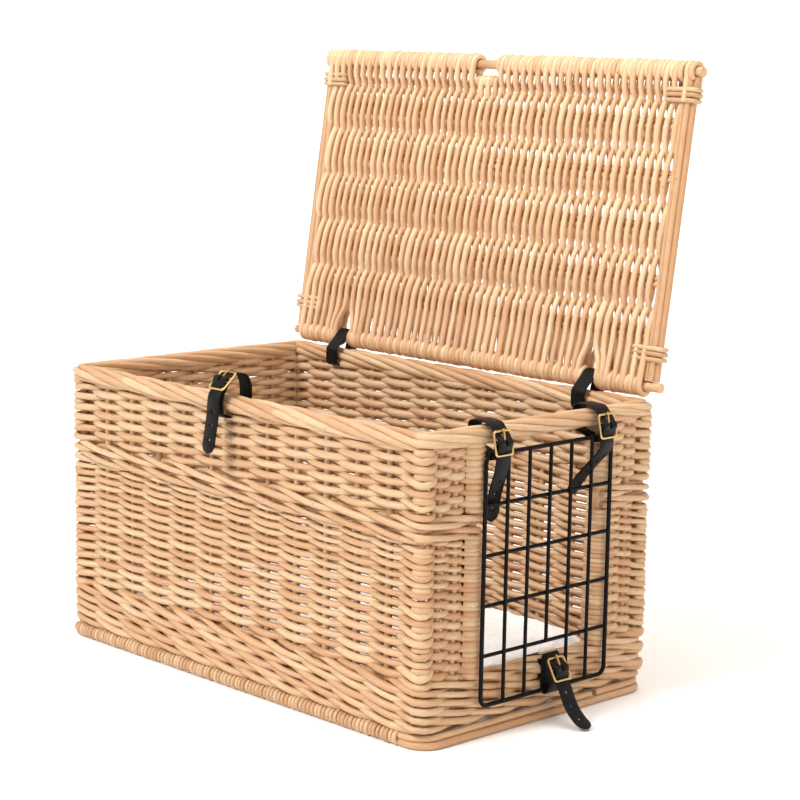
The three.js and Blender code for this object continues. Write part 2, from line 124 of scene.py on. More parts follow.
class Field:
    """One output socket of a node. A sum with it adds a Math or a Vector Math node."""

    def __init__(self, tree, socket):
        self.tree, self.socket = tree, socket

    @property
    def is_vector(self):
        return self.socket.type == "VECTOR"

    def sum(self, operation, first, second):
        vectors = [isinstance(v, tuple) or getattr(v, "is_vector", False) for v in (first, second)]
        if not any(vectors):
            return add(self.tree, "ShaderNodeMath", {"operation": operation}, {0: first, 1: second})
        if operation == "MULTIPLY" and not all(vectors):
            vector, number = (first, second) if vectors[0] else (second, first)
            values = {0: vector, "Scale": number}
            return add(self.tree, "ShaderNodeVectorMath", {"operation": "SCALE"}, values)
        return add(self.tree, "ShaderNodeVectorMath", {"operation": operation}, {0: first, 1: second})

    def __add__(self, other):
        return self.sum("ADD", self, other)

    def __sub__(self, other):
        return self.sum("SUBTRACT", self, other)

    def __mul__(self, other):
        return self.sum("MULTIPLY", self, other)

    def __truediv__(self, other):
        return self.sum("DIVIDE", self, other)

    def __mod__(self, other):
        return self.sum("FLOORED_MODULO", self, other)

    def __radd__(self, other):
        return self.sum("ADD", other, self)

    def __rsub__(self, other):
        return self.sum("SUBTRACT", other, self)

    def __rmul__(self, other):
        return self.sum("MULTIPLY", other, self)

    def of(self, operation, other=0.0):
        """A Math node of one value, such as SINE, or of a value and a limit, such as MINIMUM."""
        return self.sum(operation, self, other)


print("sums ready")

# %% [markdown]
# ### The sky
# The sky lights the basket softly from all round with a slightly warm light, as a room's walls
# do. It is stronger where the eye sees it directly, so the background comes out white.

# %% sky
SKY, SEEN_SKY = 0.63, 0.8
world = scene.world or bpy.data.worlds.new("sky")
scene.world = world
world.use_nodes = True
sky = world.node_tree.nodes["Background"]
sky.inputs["Color"].default_value = (1.0, 0.90, 0.81, 1)
seen = add(world.node_tree, "ShaderNodeLightPath", output="Is Camera Ray")
world.node_tree.links.new((seen * SEEN_SKY + SKY).socket, sky.inputs["Strength"])
print("sky strength", SKY)

# %% [markdown]
# ## Finishes
# Each finish is one Principled shader. What is the same all over, such as how glossy the coat
# is, is set on the shader. What changes over the surface comes from noise that is read where
# the surface is, so nothing slides when the piece moves.


# %% a finish with its helpers
class Finish:
    """A material with one Principled shader, and shorthand for the nodes that finishes share."""

    def __init__(self, name, **fixed):
        self.material = bpy.data.materials.new(name)
        self.material.use_nodes = True
        self.tree = self.material.node_tree
        self.shader = self.tree.nodes["Principled BSDF"]
        for socket, value in fixed.items():
            self.shader.inputs[socket.replace("_", " ")].default_value = value

    def place(self):
        return add(self.tree, "ShaderNodeTexCoord", output="Object")

    def own(self, name, output="Fac"):
        return add(self.tree, "ShaderNodeAttribute", {"attribute_name": name}, output=output)

    def cloud(self, where, scale, detail=2.0, rough=0.5):
        values = {"Vector": where, "Scale": scale, "Detail": detail, "Roughness": rough}
        return add(self.tree, "ShaderNodeTexNoise", values=values)

    def ramp(self, factor, low, high):
        values = {"Value": factor, "From Min": low, "From Max": high}
        return add(self.tree, "ShaderNodeMapRange", {"clamp": True}, values)

    def blend(self, factor, first, second):
        first, second = [(*c, 1) if isinstance(c, tuple) else c for c in (first, second)]
        return add(self.tree, "ShaderNodeMix", {"data_type": "RGBA"},
                   {0: factor, 6: first, 7: second}, output=2)

    def bump(self, height, distance, strength=1.0):
        values = {"Height": height, "Distance": distance, "Strength": strength}
        return add(self.tree, "ShaderNodeBump", values=values)

    def wear(self, **links):
        """Links what changes over the surface to the shader's sockets."""
        for socket, value in links.items():
            self.tree.links.new(value.socket, self.shader.inputs[socket.replace("_", " ")])
        return self.material


# %% [markdown]
# ### Peeled willow
# A peeled rod is cream with honey patches and fine streaks along the grain. Every rod is a
# little different, so each carries a `tone` between 0 and 1 and the distance `along` itself.
# `round` says which side of the rod a point is on. Streaks then follow each rod, whichever
# way it bends. Small brown knots sit where side shoots were trimmed off.


# %% willow
def willow(name, pale, warm, deep):
    finish = Finish(name, Coat_Weight=0.12, Coat_Roughness=0.35)
    tone = finish.own("tone")
    along, turn = finish.own("along"), finish.own("round", "Vector")
    rod = turn * 0.0028 + add(
        finish.tree, "ShaderNodeCombineXYZ", values={0: tone * 3.7, 1: tone * 1.9, 2: along * 0.09}
    )
    streak = finish.cloud(rod, 900, 4, 0.65)
    patch = finish.cloud(rod, 160, 2)
    spot = add(finish.tree, "ShaderNodeTexVoronoi", values={"Vector": finish.place(), "Scale": 55})
    knot = 1 - finish.ramp(spot, 0.03, 0.07)
    colour = finish.blend(finish.ramp(tone * 0.75 + patch * 0.5, 0.2, 1.0), pale, warm)
    colour = finish.blend(finish.ramp(streak, 0.42, 0.72) * 0.35, colour, deep)
    colour = finish.blend(knot * 0.7, colour, tuple(c * 0.35 for c in deep))
    rough = finish.ramp(streak, 0.2, 0.9) * 0.22 + 0.42
    normal = finish.bump(streak - knot * 0.6, 0.0004, 0.5)
    return finish.wear(Base_Color=colour, Roughness=rough, Normal=normal)


rod_willow = willow("peeled_willow", (0.64, 0.465, 0.285), (0.51, 0.29, 0.15), (0.30, 0.115, 0.038))
# The lid's willow is the walls' willow painted paler: painted light that makes up for the less light
# bounced onto the lid.
lid_willow_painted_paler = willow("lid_willow_painted_paler", (0.82, 0.60, 0.38), (0.66, 0.40, 0.22), (0.36, 0.165, 0.062))
stick_willow = willow("stick_willow", (0.68, 0.45, 0.26), (0.50, 0.28, 0.14), (0.27, 0.12, 0.045))
print("willow for rods, for the lid and for sticks")


# %% [markdown]
# ### Leather, brass, wire and fleece
# The straps are black harness leather: a fine pebbled grain, shinier in some patches than in
# others. The buckles are thin brass wire with duller patches. The door is wire dipped in black
# plastic, with a soft gloss. The cushion cover is white fleece in small tufts, with a faint
# painted glow that keeps it white in the basket's shade.


# %% the other finishes
def leather():
    finish = Finish("black_leather", Specular_IOR_Level=0.14)
    place = finish.place()
    pores = add(finish.tree, "ShaderNodeTexVoronoi", {"feature": "DISTANCE_TO_EDGE"},
                {"Vector": place, "Scale": 1100})
    patch = finish.cloud(place, 60, 3)
    grain = finish.ramp(pores, 0.0, 0.25)
    colour = finish.blend(patch, (0.002, 0.002, 0.0022), (0.006, 0.0056, 0.0056))
    rough = 0.56 - patch * 0.3
    return finish.wear(Base_Color=colour, Roughness=rough, Normal=finish.bump(grain, 0.0002, 0.5))


def brass():
    finish = Finish("brass", Metallic=1.0)
    patch = finish.cloud(finish.place(), 140, 3)
    colour = finish.blend(patch, (0.86, 0.62, 0.28), (0.62, 0.42, 0.18))
    rough = patch * 0.25 + 0.18
    return finish.wear(Base_Color=colour, Roughness=rough, Normal=finish.bump(patch, 0.0002, 0.3))


def black_wire():
    finish = Finish("black_wire", Specular_IOR_Level=0.1)
    patch = finish.cloud(finish.place(), 90, 3)
    colour = finish.blend(patch, (0.002, 0.002, 0.0022), (0.005, 0.005, 0.0053))
    rough = patch * 0.25 + 0.3
    return finish.wear(Base_Color=colour, Roughness=rough, Normal=finish.bump(patch, 0.0003, 0.4))


def fleece():
    # The cover glows faintly white of itself: a painted glow that keeps the cushion white where little
    # light reaches it.
    finish = Finish("white_fleece_with_painted_glow", Sheen_Weight=0.35, Sheen_Roughness=0.5,
                    Emission_Color=(1, 1, 1, 1), Emission_Strength=0.16)
    place = finish.place()
    tuft = finish.cloud(place, 260, 4, 0.6)
    curl = finish.cloud(place, 900, 3, 0.6)
    colour = finish.blend(finish.ramp(tuft, 0.3, 0.7), (0.955, 0.955, 0.96), (1.0, 1.0, 1.0))
    rough = tuft * 0.1 + 0.85
    height = tuft + curl * 0.4
    return finish.wear(Base_Color=colour, Roughness=rough, Normal=finish.bump(height, 0.0015, 0.8))


leather_finish, brass_finish = leather(), brass()
wire_finish, fleece_and_glow_finish = black_wire(), fleece()
print("leather, brass, wire and fleece")


# %% floor
def as_object(name, data):
    """A new object in the scene with this mesh."""
    piece = bpy.data.objects.new(name, data)
    scene.collection.objects.link(piece)
    return piece


FLOOR = 20
floor_finish = Finish("floor_white", Roughness=0.9)
floor_patch = floor_finish.cloud(floor_finish.place(), 3)
floor_finish.wear(Base_Color=floor_finish.blend(floor_patch, (0.93, 0.93, 0.93), (0.95, 0.95, 0.95)))
floor_mesh = bpy.data.meshes.new("floor")
floor_corners = [(-FLOOR, -FLOOR, 0), (FLOOR, -FLOOR, 0), (FLOOR, FLOOR, 0), (-FLOOR, FLOOR, 0)]
floor_mesh.from_pydata(floor_corners, [], [(0, 1, 2, 3)])
floor_mesh.materials.append(floor_finish.material)
as_object("floor", floor_mesh)
print("floor", 2 * FLOOR, "m across")

# %% [markdown]
# ## The rods, as Geometry Nodes
# A basket is some hundreds of rods, each a long thin tube that follows its own line. Two trees
# make them all. The first takes one woven line and repeats it, row on row, swinging every
# second row to the other side, which is what plain weaving does. The second twists a few
# strands round a path, as a rope, a wale or a lashing does. Both end in the same skin.


# %% a tree with named inputs
def new_tree(name, inputs):
    """An empty tree, its entry sockets by name, and the group output to link to."""
    tree = bpy.data.node_groups.new(name, "GeometryNodeTree")
    face = tree.interface
    face.new_socket("Geometry", in_out="OUTPUT", socket_type="NodeSocketGeometry")
    face.new_socket("Geometry", in_out="INPUT", socket_type="NodeSocketGeometry")
    for title, kind in inputs.items():
        face.new_socket(title, in_out="INPUT", socket_type="NodeSocket" + kind)
    entry = tree.nodes.new("NodeGroupInput")
    return tree, {title: Field(tree, entry.outputs[title]) for title in ["Geometry", *inputs]}


SKIN_INPUTS = {"Radius": "Float", "Spread": "Float", "Taper": "Float", "Rod length": "Float",
               "Wander": "Float", "Sides": "Int", "Seed": "Int", "Material": "Material"}


def chance(tree, which, seed):
    """A number from 0 to 1, the same for all that share `which`."""
    return add(tree, "FunctionNodeRandomValue", {"data_type": "FLOAT"},
               {"ID": which, "Seed": seed}, output=1)


def wander(tree, plug):
    """A slow drift every way, different for every rod, because no rod is straight."""
    which = add(tree, "GeometryNodeCurveOfPoint")
    place = add(tree, "GeometryNodeInputPosition")
    drift = add(tree, "ShaderNodeTexNoise", {"noise_dimensions": "4D"},
                {"Vector": place, "W": which * 3.17 + plug["Seed"], "Scale": 14.0, "Detail": 1.0},
                output=1)
    centred = add(tree, "ShaderNodeVectorMath", {"operation": "SUBTRACT"},
                  {0: drift, 1: (0.5, 0.5, 0.5)})
    return centred * plug["Wander"] * 2


def rod_skin(tree, curve, plug, radius):
    """Turns centre lines into rods with their own thickness and tone, and closes the tree."""
    length = add(tree, "GeometryNodeSplineParameter", output="Length")
    which = add(tree, "GeometryNodeCurveOfPoint")
    walked = length / plug["Rod length"] + chance(tree, which, plug["Seed"] + 1)
    number = walked.of("FLOOR")
    own_rod = which * 31 + number
    tone = chance(tree, own_rod, plug["Seed"] + 2)
    size = 1 + plug["Spread"] * (chance(tree, own_rod, plug["Seed"] + 3) - 0.5)
    size = size * (1 - plug["Taper"] * (walked - number - 0.5))
    for name, kind, value in (("tone", "FLOAT", tone), ("along", "FLOAT", length)):
        curve = add(tree, "GeometryNodeStoreNamedAttribute", {"data_type": kind, "domain": "POINT"},
                    {"Geometry": curve, "Name": name, "Value": value})
    ring = add(tree, "GeometryNodeCurvePrimitiveCircle", {"mode": "RADIUS"},
               {"Resolution": plug["Sides"], "Radius": 1.0})
    spot = add(tree, "GeometryNodeInputPosition")
    ring = add(tree, "GeometryNodeStoreNamedAttribute",
               {"data_type": "FLOAT_VECTOR", "domain": "POINT"},
               {"Geometry": ring, "Name": "round", "Value": spot})
    mesh = add(tree, "GeometryNodeCurveToMesh", values={
        "Curve": curve, "Profile Curve": ring, "Scale": radius * size, "Fill Caps": True})
    corners = add(tree, "GeometryNodeInputMeshFaceNeighbors")
    smooth = add(tree, "FunctionNodeCompare", {"data_type": "INT", "operation": "LESS_THAN"},
                 {2: corners, 3: 5})
    mesh = add(tree, "GeometryNodeSetShadeSmooth", values={"Geometry": mesh, "Shade Smooth": smooth})
    mesh = add(tree, "GeometryNodeRealizeInstances", values={"Geometry": mesh})
    mesh = add(tree, "GeometryNodeSetMaterial", values={"Geometry": mesh, "Material": plug["Material"]})
    tree.links.new(mesh.socket, tree.nodes.new("NodeGroupOutput").inputs["Geometry"])


# %% [markdown]
# ### Rows that swing in and out
# The input is a chain of points with a `swing` on each: how far a rod passes from the middle
# of the wall there. Row 0 adds the swing, row 1 takes it away, and so on up the wall. The
# rows may start thick and far apart and end thin and close, as they do where a maker changes
# to finer rods. Where `corner` is 1 the rows take turns in fours, each a quarter of a pitch
# lower than the last, so that they close up round a corner post.


# %% the tree of rows
def copied(tree, lines, amount):
    """Copies of every line, and the number of each copy."""
    copies = tree.nodes.new("GeometryNodeDuplicateElements")
    copies.domain = "SPLINE"
    tree.links.new(lines.socket, copies.inputs["Geometry"])
    tree.links.new(amount.socket, copies.inputs["Amount"])
    return Field(tree, copies.outputs["Geometry"]), Field(tree, copies.outputs["Duplicate Index"])


def rows_tree():
    inputs = {"Rows": "Int", "Up": "Vector", "First pitch": "Float", "Last pitch": "Float",
              "Last radius": "Float", "Vary": "Float", **SKIN_INPUTS}
    tree, plug = new_tree("rows_of_rods", inputs)
    lines = add(tree, "GeometryNodeMeshToCurve", values={"Mesh": plug["Geometry"]})
    copies, row = copied(tree, lines, plug["Rows"])
    part = row / plug["Rows"]
    closing = plug["Last pitch"] - plug["First pitch"]
    height = row * (plug["First pitch"] + part * 0.5 * closing)
    height = height + (chance(tree, row, plug["Seed"]) - 0.5) * plug["Vary"]
    pitch = plug["First pitch"] + part * closing
    corner = add(tree, "GeometryNodeInputNamedAttribute", {"data_type": "FLOAT"}, {"Name": "corner"})
    height = height - corner * pitch * (row % 4) * 0.25
    side = 1 - (row % 2) * 2
    swing = add(tree, "GeometryNodeInputNamedAttribute", {"data_type": "FLOAT_VECTOR"},
                {"Name": "swing"})
    move = plug["Up"] * height + swing * side + wander(tree, plug)
    rows = add(tree, "GeometryNodeSetPosition", values={"Geometry": copies, "Offset": move})
    radius = plug["Radius"] + part * (plug["Last radius"] - plug["Radius"])
    rod_skin(tree, rows, plug, radius)
    return tree


# %% [markdown]
# ### Strands twisted round a path
# Each strand goes round the path as it goes along it. `Out` and `Across` are how far it goes to
# each side, so the twist can be round, as a rope, or flat, as a wale. `Lean` shifts the whole
# twist outwards.


# %% the tree of twists
def twist_tree():
    inputs = {"Strands": "Int", "Turn": "Float", "Out": "Float", "Across": "Float", "Lean": "Float",
              "Step": "Float", "Up": "Vector", **SKIN_INPUTS}
    tree, plug = new_tree("twisted_strands", inputs)
    lines = add(tree, "GeometryNodeMeshToCurve", values={"Mesh": plug["Geometry"]})
    lines = add(tree, "GeometryNodeResampleCurve", {"mode": "LENGTH"},
                {"Curve": lines, "Length": plug["Step"]})
    copies, strand = copied(tree, lines, plug["Strands"])
    length = add(tree, "GeometryNodeSplineParameter", output="Length")
    ahead = add(tree, "GeometryNodeInputTangent")
    out = add(tree, "ShaderNodeVectorMath", {"operation": "CROSS_PRODUCT"}, {0: ahead, 1: plug["Up"]})
    out = add(tree, "ShaderNodeVectorMath", {"operation": "NORMALIZE"}, {0: out})
    across = add(tree, "ShaderNodeVectorMath", {"operation": "CROSS_PRODUCT"}, {0: out, 1: ahead})
    angle = (length / plug["Turn"] + strand / plug["Strands"]) * (2 * pi)
    move = out * (plug["Lean"] + plug["Out"] * angle.of("COSINE"))
    move = move - across * (plug["Across"] * angle.of("SINE"))
    strands = add(tree, "GeometryNodeSetPosition",
                  values={"Geometry": copies, "Offset": move + wander(tree, plug)})
    rod_skin(tree, strands, plug, plug["Radius"])
    return tree


ROWS, TWIST = rows_tree(), twist_tree()
print("trees:", [(tree.name, len(tree.nodes)) for tree in (ROWS, TWIST)])

# %% [markdown]
# ### From lines to a piece
# The lines go in as a mesh of loose edges, the modifier grows the rods, and the result is
# kept as a plain mesh. Several sets of rods can be one piece, as a wall's rows and stakes are.

# %% rods and pieces
ROD = {"Spread": 0.24, "Taper": 0.16, "Rod length": 0.55, "Wander": 0.7 * MM, "Sides": 6, "Seed": 1,
       "Material": rod_willow, "Vary": 0.9 * MM}


def grow(tree, lines, closed=False, **inputs):
    """Rods along lines of points. A woven line's point is its middle, its swing and its corner."""
    points, edges, swings, corners = [], [], [], []
    for line in lines:
        start = len(points)
        for point in line:
            middle, swing, corner = point if isinstance(point, tuple) else (point, Vector(), 0.0)
            points.append(middle)
            swings.extend(swing)
            corners.append(corner)
        edges += [(k, k + 1) for k in range(start, len(points) - 1)]
        if closed:
            edges.append((len(points) - 1, start))
    mesh = bpy.data.meshes.new("lines")
    mesh.from_pydata(points, edges, [])
    mesh.attributes.new("swing", "FLOAT_VECTOR", "POINT").data.foreach_set("vector", swings)
    mesh.attributes.new("corner", "FLOAT", "POINT").data.foreach_set("value", corners)
    piece = as_object("rods", mesh)
    modifier = piece.modifiers.new("rods", "NODES")
    modifier.node_group = tree
    chosen = {**ROD, **{name.replace("_", " "): value for name, value in inputs.items()}}
    chosen.setdefault("Last radius", chosen["Radius"])
    chosen.setdefault("Last pitch", chosen.get("First pitch", 0.0))
    for item in tree.interface.items_tree:
        if item.in_out == "INPUT" and item.name in chosen:
            modifier[item.identifier] = chosen[item.name]
    graph = bpy.context.evaluated_depsgraph_get()
    piece.data = bpy.data.meshes.new_from_object(
        piece.evaluated_get(graph), preserve_all_data_layers=True, depsgraph=graph
    )
    piece.modifiers.clear()
    return piece


def finish_piece(name, parts, body, nodes=()):
    """Joins the parts into one piece, names it, hangs it on its body, and hides the CAD parts it stands
    for.
    """
    first = parts[0]
    if len(parts) > 1:
        with bpy.context.temp_override(active_object=first, object=first, selected_objects=parts,
                                       selected_editable_objects=parts):
            bpy.ops.object.join()
    first.name = first.data.name = name
    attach(first, body)
    if nodes:
        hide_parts(*nodes)
    triangles = sum(len(face.vertices) - 2 for face in first.data.polygons)
    print(f"{name}: {triangles} triangles")


# %% [markdown]
# ## The walls
# Upright stakes stand in the base every 48 mm or so, with a stouter post at each corner and on
# each side of the doorway. One rod after another is woven round them: outside one stake,
# inside the next. The row above does the opposite. So a row is worked out as two lines: the
# way that an even row goes, and the way that an odd row goes. Half their sum is the middle,
# and half their difference is the swing.

# %% where the walls are
lower_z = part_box("lower_wall_front")[0][2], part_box("lower_wall_front")[1][2]
upper_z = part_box("upper_wall_front")[0][2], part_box("upper_wall_front")[1][2]
corner_low, corner_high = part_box("corner_post_door_front")
jamb_low, jamb_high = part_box("jamb_post_front")
POST_X, POST_Y = (corner_low[0] + corner_high[0]) / 2, -(corner_low[1] + corner_high[1]) / 2
JAMB_Y = -(jamb_low[1] + jamb_high[1]) / 2
STAKE, POST, JAMB = 3.8 * MM, 4.4 * MM, 6.6 * MM
LONG_GAPS, END_GAPS, DOOR_GAPS = 12, 8, 3
print("posts at", round(POST_X, 4), round(POST_Y, 4), "jambs at", round(JAMB_Y, 4))


def spaced(start, end, gaps):
    """The stakes between two posts."""
    return [start + (end - start) * k / gaps for k in range(1, gaps)]


def ease(t):
    """From 0 to 1, slow at both ends."""
    return (1 - cos(pi * t)) / 2


def woven_row(reach, bend, slant, step):
    """One row, from the jamb by the front corner right round to the other jamb."""
    evens, odds, corners = [], [], []
    quarter = pi / 2

    def stretch(even, odd, axis, rise):
        """Weaves on to the next stop: steady along the wall, eased across it."""
        last_even, last_odd = evens[-1], odds[-1]
        count = max(2, round(abs(even[axis] - last_even[axis]) / step))
        for k in range(1, count + 1):
            t = k / count
            for line, a, b, lift in ((evens, last_even, even, rise), (odds, last_odd, odd, -rise)):
                point = Vector((0, 0, lift * sin(pi * t)))
                point[axis] = a[axis] + (b[axis] - a[axis]) * t
                point[1 - axis] = a[1 - axis] + (b[1 - axis] - a[1 - axis]) * ease(t)
                line.append(point)
            corners.append(0.0)

    def turn(centre, angles, radius, inner=None):
        """Round a post: an even row outside it, an odd row round the other side or across."""
        for angle in angles:
            arm = Vector((cos(angle), sin(angle), 0)) * radius
            evens.append(centre + arm)
            odds.append(inner(centre, arm) if inner else centre + Vector((-arm.x, arm.y, 0)))
            corners.append(1.0 if inner else 0.0)

    def wall(stops, axis, fixed, out, side):
        """The stakes of one wall, in order. `side` is 1 where an even row starts outside."""
        for place in stops:
            mid = Vector((0, 0, 0))
            mid[axis], mid[1 - axis] = place, fixed
            push = out * reach * side
            stretch(mid + push, mid - push, axis, -slant * side)
            side = -side

    def corner(x, y, start):
        """Past a corner post. An odd row cuts across inside the corner."""
        centre = Vector((x, y, 0))
        tuck = Vector((-x / abs(x), -y / abs(y), 0)) * reach
        first = Vector((cos(start), sin(start), 0)) * (POST + bend)
        axis = 0 if abs(first.y) > abs(first.x) else 1
        stretch(centre + first, centre + tuck, axis, 0)
        turn(centre, [start - quarter * k / 6 for k in range(1, 7)], POST + bend,
             lambda middle, arm: middle + tuck * (0.9 + 0.1 * abs(sum(arm.normalized()))))

    front, back = Vector((0, -1, 0)), Vector((0, 1, 0))
    door_end, far_end = Vector((1, 0, 0)), Vector((-1, 0, 0))
    turn(Vector((POST_X, -JAMB_Y, 0)), [radians(a) for a in range(-70, 181, 25)], JAMB + bend)
    wall(spaced(-JAMB_Y, -POST_Y, DOOR_GAPS), 1, POST_X, door_end, 1)
    corner(POST_X, -POST_Y, 0)
    wall(spaced(POST_X, -POST_X, LONG_GAPS), 0, -POST_Y, front, -1)
    corner(-POST_X, -POST_Y, -quarter)
    wall(spaced(-POST_Y, POST_Y, END_GAPS), 1, -POST_X, far_end, -1)
    corner(-POST_X, POST_Y, -2 * quarter)
    wall(spaced(-POST_X, POST_X, LONG_GAPS), 0, POST_Y, back, -1)
    corner(POST_X, POST_Y, -3 * quarter)
    wall(spaced(POST_Y, JAMB_Y, DOOR_GAPS), 1, POST_X, door_end, -1)
    last = Vector((POST_X, JAMB_Y, 0))
    stretch(last - door_end * (JAMB + bend), last + door_end * (JAMB + bend), 1, 0)
    turn(last, [radians(a) for a in range(200, 431, 25)], JAMB + bend)
    eased = [sum(corners[max(0, k - 2):k + 3]) / 5 for k in range(len(corners))]
    return [((a + b) / 2, (a - b) / 2, c) for a, b, c in zip(evens, odds, eased)]


# %% lower and upper weave
# A row passes a stake closer than their two radii, because both are pressed a little flat there.
PRESSED = 0.64
GROUP, FIRST_WRAP, WRAP_TUCK = 4, 2.83, 3 * MM


def raised(line, height):
    return [(middle + Vector((0, 0, height)), swing, corner) for middle, swing, corner in line]


def corner_wraps(start, rows, pitches, radius):
    """Short pieces round the corner posts, one for each group of rows, that fill what these leave.

    Each goes 170 degrees round its post, from wall to wall, and its ends tuck in.
    """
    lines = []
    for group in range((rows + 2) // GROUP):
        row = GROUP * group + FIRST_WRAP
        z = start + row * (pitches[0] + row / rows * 0.5 * (pitches[1] - pitches[0]))
        for x, y, first in ((1, -1, 0), (-1, -1, -90), (-1, 1, -180), (1, 1, -270)):
            line = []
            for angle in range(42, -133, -17):
                tuck = max(0, abs(angle + 45) - 55) / 32 * WRAP_TUCK
                turn = radians(first + angle)
                arm = Vector((cos(turn), sin(turn), 0))
                line.append(Vector((x * POST_X, y * POST_Y, z)) + arm * (POST + radius - tuck))
            lines.append(line)
    return grow(ROWS, lines, Rows=1, Radius=radius, Seed=9, Rod_length=0.3, Wander=0.5 * MM)


def randing(name, z, radii, pitches, slant, seed, nodes):
    """Fills a wall from one height to another with rows."""
    rows = int((z[1] - z[0]) / (sum(pitches) / 2)) + 1
    middle = sum(radii) / 2
    line = woven_row((STAKE + middle) * PRESSED, middle, slant, 5.5 * MM)
    start = z[0] + radii[0] * 0.6
    weave = grow(ROWS, [raised(line, start)], Rows=rows, Up=(0, 0, 1), First_pitch=pitches[0],
                 Last_pitch=pitches[1], Radius=radii[0], Last_radius=radii[1], Seed=seed)
    wraps = corner_wraps(start, rows, pitches, middle)
    finish_piece(name, [weave, wraps], "basket", nodes)


WALLS = ["front", "back", "left", "door_front", "door_back"]
randing("lower_weave", lower_z, (4.25 * MM, 3.1 * MM), (5.9 * MM, 4.1 * MM), 1.0 * MM, 3,
        ["lower_wall_" + wall for wall in WALLS])
randing("upper_weave", upper_z, (4.2 * MM, 4.2 * MM), (6.1 * MM, 6.1 * MM), 0.2 * MM, 5,
        ["upper_wall_" + wall for wall in WALLS])


# %% [markdown]
# ### Stakes and posts
# The stakes show as short uprights between the rows. They are rods too, so the same tree
# makes them, one row each. The posts are the same, only thicker.


# %% stakes and posts
stake_low, stake_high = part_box("bottom_wale_front")[0][2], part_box("rim_front")[0][2] + 6 * MM
WHOLE = 5.0


def straight(start, end, steps):
    """Evenly spaced points from start to end."""
    start, end = Vector(start), Vector(end)
    return [start + (end - start) * (k / steps) for k in range(steps + 1)]


def sticks(lines, radius, **inputs):
    """Plain sticks, each of one rod: `WHOLE` metres is longer than any of them."""
    looks = {"Material": stick_willow, **inputs}
    return grow(ROWS, lines, Rows=1, Radius=radius, Rod_length=WHOLE, **looks)


def uprights(places):
    return [straight((x, y, stake_low), (x, y, stake_high), 14) for x, y in places]


stake_places = [(x, y) for x in spaced(POST_X, -POST_X, LONG_GAPS) for y in (-POST_Y, POST_Y)]
stake_places += [(-POST_X, y) for y in spaced(-POST_Y, POST_Y, END_GAPS)]
stake_places += [(POST_X, side * y) for y in spaced(JAMB_Y, POST_Y, DOOR_GAPS) for side in (-1, 1)]
stakes = sticks(uprights(stake_places), STAKE, Wander=1.0 * MM, Sides=8)
finish_piece("stakes", [stakes], "basket")
post_places = [(x, y) for x in (-POST_X, POST_X) for y in (-POST_Y, POST_Y)]
posts = sticks(uprights(post_places), POST, Spread=0.05, Sides=14)
finish_piece("corner_posts", [posts], "basket",
             [f"corner_post_{end}_{side}" for end in ("left", "door") for side in ("front", "back")])
jambs = sticks(uprights([(POST_X, -JAMB_Y), (POST_X, JAMB_Y)]), JAMB, Spread=0.05, Sides=14)
finish_piece("door_posts", [jambs], "basket", ["jamb_post_front", "jamb_post_back"])

# %% [markdown]
# ## Wales and rim
# A wale is three rods that twist past each other as they go round, outside two stakes and
# inside one. It locks the weave, so there is a band of them at the bottom and one two thirds
# of the way up. The rim is the same idea with six rods laid almost straight round a stick.


# %% bands of twisted rods
TURN_POINTS = 6


def loop(x, y, radius, z):
    """A closed rounded rectangle, as seen from above, in the direction from front to door end."""
    points = []
    for cx, cy, start in ((x, -y, -pi / 2), (x, y, 0), (-x, y, pi / 2), (-x, -y, pi)):
        centre = Vector((cx - radius * cx / abs(cx), cy - radius * cy / abs(cy), z))
        angles = [start + pi / 2 * k / (TURN_POINTS - 1) for k in range(TURN_POINTS)]
        points += [centre + Vector((cos(angle), sin(angle), 0)) * radius for angle in angles]
    return points


def path_length(points, closed):
    pairs = zip(points, points[1:] + points[:1] if closed else points[1:])
    return sum((b - a).length for a, b in pairs)


def wale(z, turns, seed, across, radius, closed=True):
    """One round of a wale at height z. An open one starts and ends inside the doorway's posts."""
    line = loop(POST_X + 3 * MM, POST_Y + 3 * MM, 4 * MM, z)
    if not closed:
        first, last = [Vector((POST_X + 2 * MM, side * (JAMB_Y - 4 * MM), z)) for side in (1, -1)]
        line = [first, *line[TURN_POINTS:], *line[:TURN_POINTS], last]
    return grow(TWIST, [line], closed, Strands=3, Turn=path_length(line, closed) / turns, Up=(0, 0, 1),
                Step=6 * MM, Out=7.0 * MM, Across=across, Lean=0.5 * MM, Radius=radius, Seed=seed)


FIRST_ROUND, ROUND_PITCH = 5 * MM, 9.6 * MM
band_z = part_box("bottom_wale_front")[0][2] + FIRST_ROUND
bottom_rounds = [wale(band_z + ROUND_PITCH * k, 12 + k % 2, 20 + k, 4.2 * MM, 3.9 * MM) for k in range(5)]
ENDS = ("front", "back", "left", "door_end")
finish_piece("bottom_wale", bottom_rounds, "basket", ["bottom_wale_" + end for end in ENDS])
mid_low, mid_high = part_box("mid_wale_front")[0][2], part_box("mid_wale_front")[1][2]
mid_rounds = [wale(mid_low + (mid_high - mid_low) * part, 9, 30 + k, 3.8 * MM, 3.6 * MM, closed=False)
              for k, part in enumerate((0.27, 0.73))]
finish_piece("mid_wale", mid_rounds, "basket", ["mid_wale_" + wall for wall in WALLS])

